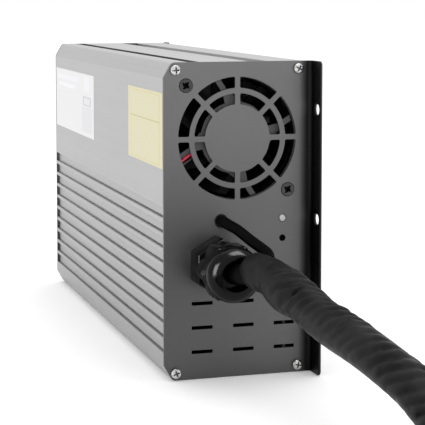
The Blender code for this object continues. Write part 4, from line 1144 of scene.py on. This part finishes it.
@dataclass
class OutputLead:
    """The lead: core, folded sleeve, storage coil and connector."""

    core_radius: float = 0.00475
    sleeve_radius: float = 0.00845
    mouth_loss: float = 0.0007
    mouth_length: float = 0.008
    bulge_rise: float = 0.0012
    bulge_place: float = 0.028
    bulge_width: float = 0.008
    ring_places: tuple[float, float] = (0.0095, 0.0165)
    ring_depth: float = 0.0003
    fold_starts: int = 5
    fold_spacing: float = 0.0068
    fold_height: float = 0.0021
    swell_height: float = 0.0006
    smooth_length: float = 0.018
    smooth_fade: float = 0.010
    seen_length: float = 0.34
    seen_fade: float = 0.08
    end_taper: float = 0.012
    wall: float = 0.0007
    core_route: list[Place] = field(default_factory=lambda: [
        (0.0251, 0.0300, 0.0540), (0.0251, 0.0100, 0.0540), (0.0251, -0.0100, 0.0540),
        (0.0251, -0.0220, 0.0540), (0.0256, -0.0280, 0.0543), (0.0268, -0.0325, 0.0550),
        (0.0284, -0.0350, 0.0559), (0.0302, -0.0375, 0.0565), (0.0335, -0.0440, 0.0562),
        (0.0365, -0.0540, 0.0545)])
    sleeve_route: list[Place] = field(default_factory=lambda: [
        (0.0323, -0.0355, 0.0577), (0.0333, -0.0400, 0.0568), (0.0354, -0.0460, 0.0562),
        (0.0368, -0.0520, 0.0552), (0.0379, -0.0580, 0.0533), (0.0393, -0.0650, 0.0514),
        (0.0408, -0.0713, 0.0500), (0.0422, -0.0780, 0.0482), (0.0438, -0.1020, 0.0448),
        (0.0473, -0.1320, 0.0414), (0.0530, -0.1580, 0.0342), (0.0557, -0.1740, 0.0272),
        (0.0562, -0.1838, 0.0231), (0.0565, -0.2060, 0.0140), (0.0565, -0.2230, 0.0095)])
    floor_gap: float = 0.0002
    band: float = 0.0345
    sides: int = 80
    step: float = 0.0009
    total_turn: float = 602.0
    peel_turn: float = 70.0
    turn_step: float = 12.0
    inward_start: float = 285.0
    inward_turn: float = 75.0
    peel_pull: float = 0.36
    peel_steps: int = 8

    def coil_points(self) -> list[Vector]:
        """The line of the coil, from its tangent point to the connector's back.

        Returns:
            The points, in the world.
        """
        low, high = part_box("lead_coil")
        centre = (low + high) / 2
        outer = (high.x - low.x) / 2 - self.sleeve_radius
        inner = outer - (self.band - 2 * self.sleeve_radius)
        back_low, back_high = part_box("lead_connector")
        back = Vector((back_low.x, (back_low.y + back_high.y) / 2, self.sleeve_radius))
        points = []
        turned = 0.0
        while turned < self.total_turn - self.peel_turn:
            fall = clamp((turned - self.inward_start) / self.inward_turn)
            reach = outer + (inner - outer) * fall * fall * (3 - 2 * fall)
            angle = -math.radians(turned)
            points.append(Vector((centre.x + reach * math.cos(angle), centre.y + reach * math.sin(angle),
                                  self.sleeve_radius)))
            turned += self.turn_step
        last = points[-1]
        heading = (points[-1] - points[-2]).normalized()
        span = (back - last).length
        ahead = last + heading * span * self.peel_pull
        behind = back - Vector((1, 0, 0)) * span * self.peel_pull
        for step in range(1, self.peel_steps + 1):
            t = step / self.peel_steps
            rest = 1 - t
            points.append(rest ** 3 * last + 3 * rest ** 2 * t * ahead + 3 * rest * t * t * behind
                          + t ** 3 * back)
        return points

    def sleeve_points(self) -> list[Vector]:
        """The whole line of the sleeve in the world."""
        return [on_plate(*point) for point in self.sleeve_route] + self.coil_points()

    def fold(self, walked: float, turn: float, total: float) -> float:
        """The sleeve's distance from its line: a narrow mouth, a bulge, slanting folds and a tapered end.

        Args:
            walked: The length from the mouth.
            turn: The turn round the line.
            total: The sleeve's whole length.

        Returns:
            The radius there.
        """
        seen = clamp((self.seen_length - walked) / self.seen_fade)
        grown = clamp((walked - self.smooth_length) / self.smooth_fade)
        upper = max(0.0, 0.55 + 0.6 * math.sin(turn))
        patch = clamp(0.55 + 1.3 * noise.noise(Vector((walked * 34, math.cos(turn) * 1.2, 7.0))))
        strength = (0.35 + 0.65 * seen) * grown * upper * patch
        spot = Vector((math.cos(turn) * 0.9, math.sin(turn) * 0.9, walked * 60))
        sway = noise.noise(spot) * 2.2
        phase = -self.fold_starts * turn + walked * 2 * math.pi / self.fold_spacing + sway
        puffed = abs(math.cos(phase / 2)) ** 0.9
        swell = noise.noise(spot * 1.9 + Vector((5, 1, 2))) + 0.5 * noise.noise(spot * 4.0)
        height = self.fold_height * (puffed - 0.6) + self.swell_height * swell
        reach = self.sleeve_radius + strength * height
        opening = min(1.0, walked / self.mouth_length)
        reach -= self.mouth_loss * (1 - opening) ** 2
        reach += self.bulge_rise * math.exp(-((walked - self.bulge_place) / self.bulge_width) ** 2)
        for place in self.ring_places:
            reach -= self.ring_depth * math.exp(-((walked - place) / 0.0012) ** 2)
        left = total - walked
        if left < self.end_taper:
            reach *= 0.72 + 0.28 * math.sin(math.pi / 2 * left / self.end_taper)
        return reach

    def build(self, finishes: Finishes) -> None:
        """Args:
            finishes: The charger's materials.
        """
        core_line = Route([on_plate(*point) for point in self.core_route]).fine(0.0015)
        core = tube("lead_core_fine", core_line, even(self.core_radius), 32)
        finishes.paint(core, "jacket")
        mount(core, "case", "black_wire", "lead_core")
        line = Route(self.sleeve_points()).fine(self.step)
        total = measure(line)
        kept = [point for index, point in enumerate(line)
                if index * self.step < self.seen_length or index % 3 == 0]
        if kept[-1] != line[-1]:
            kept.append(line[-1])
        sleeve = tube("output_sleeve", kept, lambda walked, turn: self.fold(walked, turn, total), self.sides,
                      closed=False)
        for vertex in sleeve.data.vertices:
            vertex.co.z = max(vertex.co.z, self.floor_gap)
        wall = sleeve.modifiers.new("wall", "SOLIDIFY")
        wall.thickness = self.wall
        wall.offset = -1
        activate(sleeve)
        bpy.ops.object.modifier_apply(modifier=wall.name)
        smooth(sleeve, 70)
        finishes.paint(sleeve, "sleeve")
        mount(sleeve, "case", "sleeve", "lead_sleeve", "lead_coil")
        housing = refined("lead_connector", "lead_connector_fine", 0.0004)
        finishes.paint(housing, "dull")
        mount(housing, "case", "dull_plastic", "lead_connector")
        nodes = frame["nodes"]
        for name in ("connector_contact_1", "connector_contact_2"):
            finishes.paint(nodes[name], "brass")
        LOG.info("output lead: %.3f m", total)


@dataclass
class SignalCable:
    """The thin cable from the plate to the sleeve's mouth, and its tail inside the case."""

    radius: float = 0.00255
    inside: list[Place] = field(default_factory=lambda: [
        (0.0603, 0.0340, 0.0696), (0.0550, 0.0339, 0.0697), (0.0400, 0.0260, 0.0731),
        (0.0291, 0.0130, 0.0743), (0.0278, 0.0030, 0.0743)])
    outside: list[Place] = field(default_factory=lambda: [
        (0.0278, 0.0030, 0.0743), (0.0279, -0.0010, 0.0744), (0.0304, -0.0055, 0.0728),
        (0.0328, -0.0100, 0.0712), (0.0362, -0.0180, 0.0677), (0.0387, -0.0270, 0.0651),
        (0.0394, -0.0335, 0.0637), (0.0380, -0.0400, 0.0618)])

    def build(self, finishes: Finishes) -> None:
        """Args:
            finishes: The charger's materials.
        """
        line = Route([on_plate(*point) for point in self.outside]).fine(0.0008)
        cable = tube("signal_cable_fine", line, even(self.radius), 28)
        finishes.paint(cable, "jacket")
        mount(cable, "case", "black_wire", "signal_cable")
        hidden = Route([on_plate(*point) for point in self.inside]).fine(0.0015)
        tail = tube("signal_cable_tail", hidden, even(self.radius), 20)
        finishes.paint(tail, "jacket")
        mount(tail, "case", "black_wire")


@dataclass
class Stickers:
    """Two blank vinyl stickers on the finned side."""

    low: float = 0.0993
    high: float = 0.1346
    thickness: float = 0.00012
    sunk: float = 0.0001
    yellow: tuple[float, float] = (0.0015, 0.0672)
    white: tuple[float, float] = (0.1470, 0.2521)

    def build(self, finishes: Finishes) -> None:
        """Adds both stickers.

        Args:
            finishes: The charger's materials.
        """
        for name, (near, far) in (("yellow", self.yellow), ("white", self.white)):
            obj = box(f"{name}_sticker", on_plate(-self.thickness, near, self.low),
                      on_plate(self.sunk, far, self.high))
            self.map_face(obj, near, far)
            finishes.paint(obj, f"{name}_sticker")
            mount(obj, "case", "white_lens")

    def map_face(self, obj: Object, near: float, far: float) -> None:
        """Lays the UV map flat over the sticker, from its far lower corner to its near upper one.

        Args:
            obj: The sticker.
            near: Where it begins behind the plate.
            far: Where it ends.
        """
        layer = obj.data.uv_layers.active or obj.data.uv_layers.new(name="UVMap")
        for loop in obj.data.loops:
            point = obj.data.vertices[loop.vertex_index].co
            layer.data[loop.index].uv = ((far + PLATE_CORNER.y - point.y) / (far - near),
                                         (point.z - self.low) / (self.high - self.low))


@dataclass
class FanDetails:
    """The fan's screws with their cross recess, its two wires, and the finishes of its parts."""

    wire_radius: float = 0.00065
    wire_pitch: float = 0.0022
    wire_setback: float = 0.0010
    wire_route: list[tuple[float, float]] = field(default_factory=lambda: [
        (-0.3600, -0.1150), (-0.4200, -0.1550), (-0.4633, -0.1883), (-0.5083, -0.2183)])
    base_share: float = 0.2833
    duct_wall: float = 0.0013
    strut_setback: float = 0.0020
    strut_depth: float = 0.0025
    strut_width: float = 0.0027
    strut_offset: float = 0.1250
    strut_angle: float = 123.0
    strut_flare: float = 3.2
    cross: float = 0.00090
    cross_turn: float = 0.65
    reach: float = 0.00210
    depth: float = 0.0013
    slack: float = 0.0001

    def build(self, finishes: Finishes) -> None:
        """Dresses the fan.

        Args:
            finishes: The charger's materials.
        """
        housing = repeat(frame["nodes"]["fan_frame"], "fan_frame_fine", Matrix.Identity(4))
        merge(housing)
        self.turn_struts(housing)
        soften(housing, 0.0002)
        smooth(housing)
        level(housing)
        # painted light and shade: the frame's front faces get the light grey, its sideways faces the black
        finishes.paint(housing, "fan")
        finishes.paint_part(housing, "blades", lambda centre, normal: abs(normal.y) < 0.5)
        mount(housing, "case", "dull_plastic", "fan_frame")
        for index in (1, 2):
            self.screw(finishes, f"fan_screw_{index}")
        for index, (key, slot) in enumerate((("red", "red_wire"), ("black", "black_wire"))):
            self.wire(finishes, key, slot, index * self.wire_pitch)
        nodes = frame["nodes"]
        for name, key in (("fan_rotor", "blades"), ("fan_bearing", "brass"), ("fan_stator", "steel"),
                          ("fan_nut_1", "steel"), ("fan_nut_2", "steel")):
            finishes.paint(nodes[name], key)

    def turn_struts(self, housing: Object) -> None:
        """Takes the struts out of the ring round the motor base and sets them as the photograph shows them.

        The small insets keep the bars' faces off each other's planes, which an exact join needs.

        Args:
            housing: The fan's frame.
        """
        low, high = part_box("fan_frame")
        middle = Vector(((low.x + high.x) / 2, low.y, (low.z + high.z) / 2))
        size = high.x - low.x
        base = self.base_share * size
        duct = size / 2 - self.duct_wall
        start = self.strut_setback
        end = start + self.strut_depth
        slack = self.slack
        ring = cylinder("ring", duct - 0.00002, -end - slack, -start + slack, 96, middle, Facing.FRONT)
        core = cylinder("core", base, -end - 2 * slack, -start + 2 * slack, 96, middle, Facing.FRONT)
        combine(ring, core, "DIFFERENCE")
        combine(housing, ring, "DIFFERENCE")
        aside = -self.strut_offset * size
        half = self.strut_width / 2
        bars = ((duct + 0.0003, 1.0, 0.00003), (base * 1.22, self.strut_flare, 0.00008))
        for step in range(4):
            turn = Matrix.Rotation(-math.radians(self.strut_angle + 90 * step), 4, "Y")
            for reach, flare, inset in bars:
                bar = box("strut", Vector((base * 0.75, start + inset, aside - half)),
                          Vector((reach, end - inset, aside + half)))
                pick_faces(bar, lambda centre, normal: normal.x < -0.9)
                bpy.ops.transform.resize(value=(1, 1, flare))
                bpy.ops.object.mode_set(mode="OBJECT")
                bar.data.transform(Matrix.Translation(middle) @ turn)
                combine(housing, bar, "UNION")

    def screw(self, finishes: Finishes, node: str) -> None:
        """Cuts a wide cross into one fan screw.

        Args:
            finishes: The charger's materials.
            node: The screw's CAD node.
        """
        low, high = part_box(node)
        middle = Vector(((low.x + high.x) / 2, low.y, (low.z + high.z) / 2))
        obj = refined(node, f"{node}_fine", 0.0001, 1)
        for wide, tall in ((self.reach, self.cross / 2), (self.cross / 2, self.reach)):
            bar = box("recess", Vector((-wide, -0.001, -tall)), Vector((wide, self.depth, tall)))
            bar.data.transform(Matrix.Translation(middle) @ Matrix.Rotation(self.cross_turn, 4, "Y"))
            combine(obj, bar, "DIFFERENCE")
        finishes.paint(obj, "black_screw")
        # painted shade: the fan screw's cross recess gets the near-black unlit finish
        finishes.paint_part(obj, "unlit", lambda centre, normal: (
            self.slack < centre.y - low.y < self.depth + self.slack
            and math.hypot(centre.x - middle.x, centre.z - middle.z) < self.reach + self.slack))
        mount(obj, "case", "black_screw", node)

    def wire(self, finishes: Finishes, key: str, slot: str, drop: float) -> None:
        """Models one wire from the motor base's strut through the gap beside the frame to the board.

        Args:
            finishes: The charger's materials.
            key: Its colour's word.
            slot: The record's material slot.
            drop: How far it lies below the red one.
        """
        low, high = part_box("fan_frame")
        middle = (low + high) / 2
        size = high.x - low.x
        own_low, own_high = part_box(f"fan_wire_{key}")
        y = low.y + self.wire_setback
        outside = own_low.x + self.wire_radius
        points = [Vector((middle.x + x * size, y, middle.z + z * size - drop)) for x, z in self.wire_route]
        level_z = points[-1].z
        points += [Vector((x, depth, level_z)) for x, depth in (
            (outside, y + 0.003), (outside, high.y), (outside + 0.005, high.y + 0.006),
            (middle.x, high.y + 0.009), (own_high.x - 0.006, high.y + 0.012), (own_high.x, high.y + 0.012))]
        obj = tube(f"fan_wire_{key}_fine", Route(points).fine(0.0006), even(self.wire_radius), 16)
        finishes.paint(obj, f"wire_{key}")
        mount(obj, "case", slot, f"fan_wire_{key}")


@dataclass
class Lamps:
    """The white lens and the dark lamp with its holder."""

    radius: float = 0.0016
    proud: float = 0.0009

    def build(self, finishes: Finishes) -> None:
        """Models the lens dome and dresses the rest.

        Args:
            finishes: The charger's materials.
        """
        low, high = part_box("lamp_lens")
        middle = Vector(((low.x + high.x) / 2, low.y + self.proud, (low.z + high.z) / 2))
        deselect()
        bpy.ops.mesh.primitive_uv_sphere_add(segments=40, ring_count=20, radius=self.radius, location=middle)
        dome = bpy.context.active_object
        dome.name = "lamp_dome"
        settle(dome)
        pick_faces(dome, lambda centre, normal: True)
        bpy.ops.mesh.bisect(plane_co=middle, plane_no=(0, 1, 0), clear_outer=True, use_fill=True)
        bpy.ops.object.mode_set(mode="OBJECT")
        dome.scale = (1, self.proud / self.radius, 1)
        dome.location = (0, middle.y * (1 - self.proud / self.radius), 0)
        settle(dome)
        stem = cylinder("stem", self.radius, -(high.y - middle.y), 0.0001, 40, middle, Facing.FRONT)
        combine(dome, stem, "UNION")
        smooth(dome, 50)
        finishes.paint(dome, "lens")
        mount(dome, "case", "white_lens", "lamp_lens")
        finishes.paint(frame["nodes"]["dark_lamp"], "unlit")
        finishes.paint(frame["nodes"]["lamp_holder"], "dull")


@dataclass
class Insides:
    """The finishes of the inlet, the seals and what stands inside the case."""

    groups: dict[str, tuple[str, ...]] = field(default_factory=lambda: {
        "rubber": ("gland_seal", "signal_grommet"),
        "gland": ("gland_locknut",),
        "brass": ("inlet_pin_1", "inlet_pin_2", "inlet_pin_3"),
        "capacitor": ("input_capacitor_1", "input_capacitor_2", "output_capacitor_1", "output_capacitor_2"),
        "ferrite": ("transformer_core",),
        "copper": ("transformer_winding", "ring_choke"),
        "plain": ("heat_bar",),
        "dull": ("power_transistor_1", "power_transistor_2", "bridge_rectifier"),
        "steel": ("fuse",),
        "wire_black": ("mains_wire_live", "output_wire_negative"),
        "jacket": ("mains_wire_neutral",),
        "wire_red": ("output_wire_positive",)})

    def build(self, finishes: Finishes) -> None:
        """Refines the inlet and paints the rest.

        Args:
            finishes: The charger's materials.
        """
        inlet = refined("mains_inlet", "mains_inlet_fine", 0.0003)
        finishes.paint(inlet, "dull")
        mount(inlet, "case", "dull_plastic", "mains_inlet")
        board = repeat(frame["nodes"]["circuit_board"], "circuit_board_fine", Matrix.Identity(4))
        merge(board)
        finishes.paint(board, "board")
        finishes.paint_part(board, "laminate", lambda centre, normal: abs(normal.x) < 0.5)
        mount(board, "case", "board", "circuit_board")
        for key, nodes in self.groups.items():
            for node in nodes:
                finishes.paint(frame["nodes"][node], key)


def main() -> None:
    logging.basicConfig(level=logging.INFO, format="%(name)s: %(message)s")
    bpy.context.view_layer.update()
    finishes = Finishes()
    Studio().build()
    for part in (CaseShells(), EndPlates(), Screws(), FanDetails(), Lamps(), Gland(), OutputLead(),
                 SignalCable(), Stickers(), Insides()):
        part.build(finishes)
        LOG.info("%s is built", type(part).__name__)
    deselect()


if __name__ == "__main__":
    main()
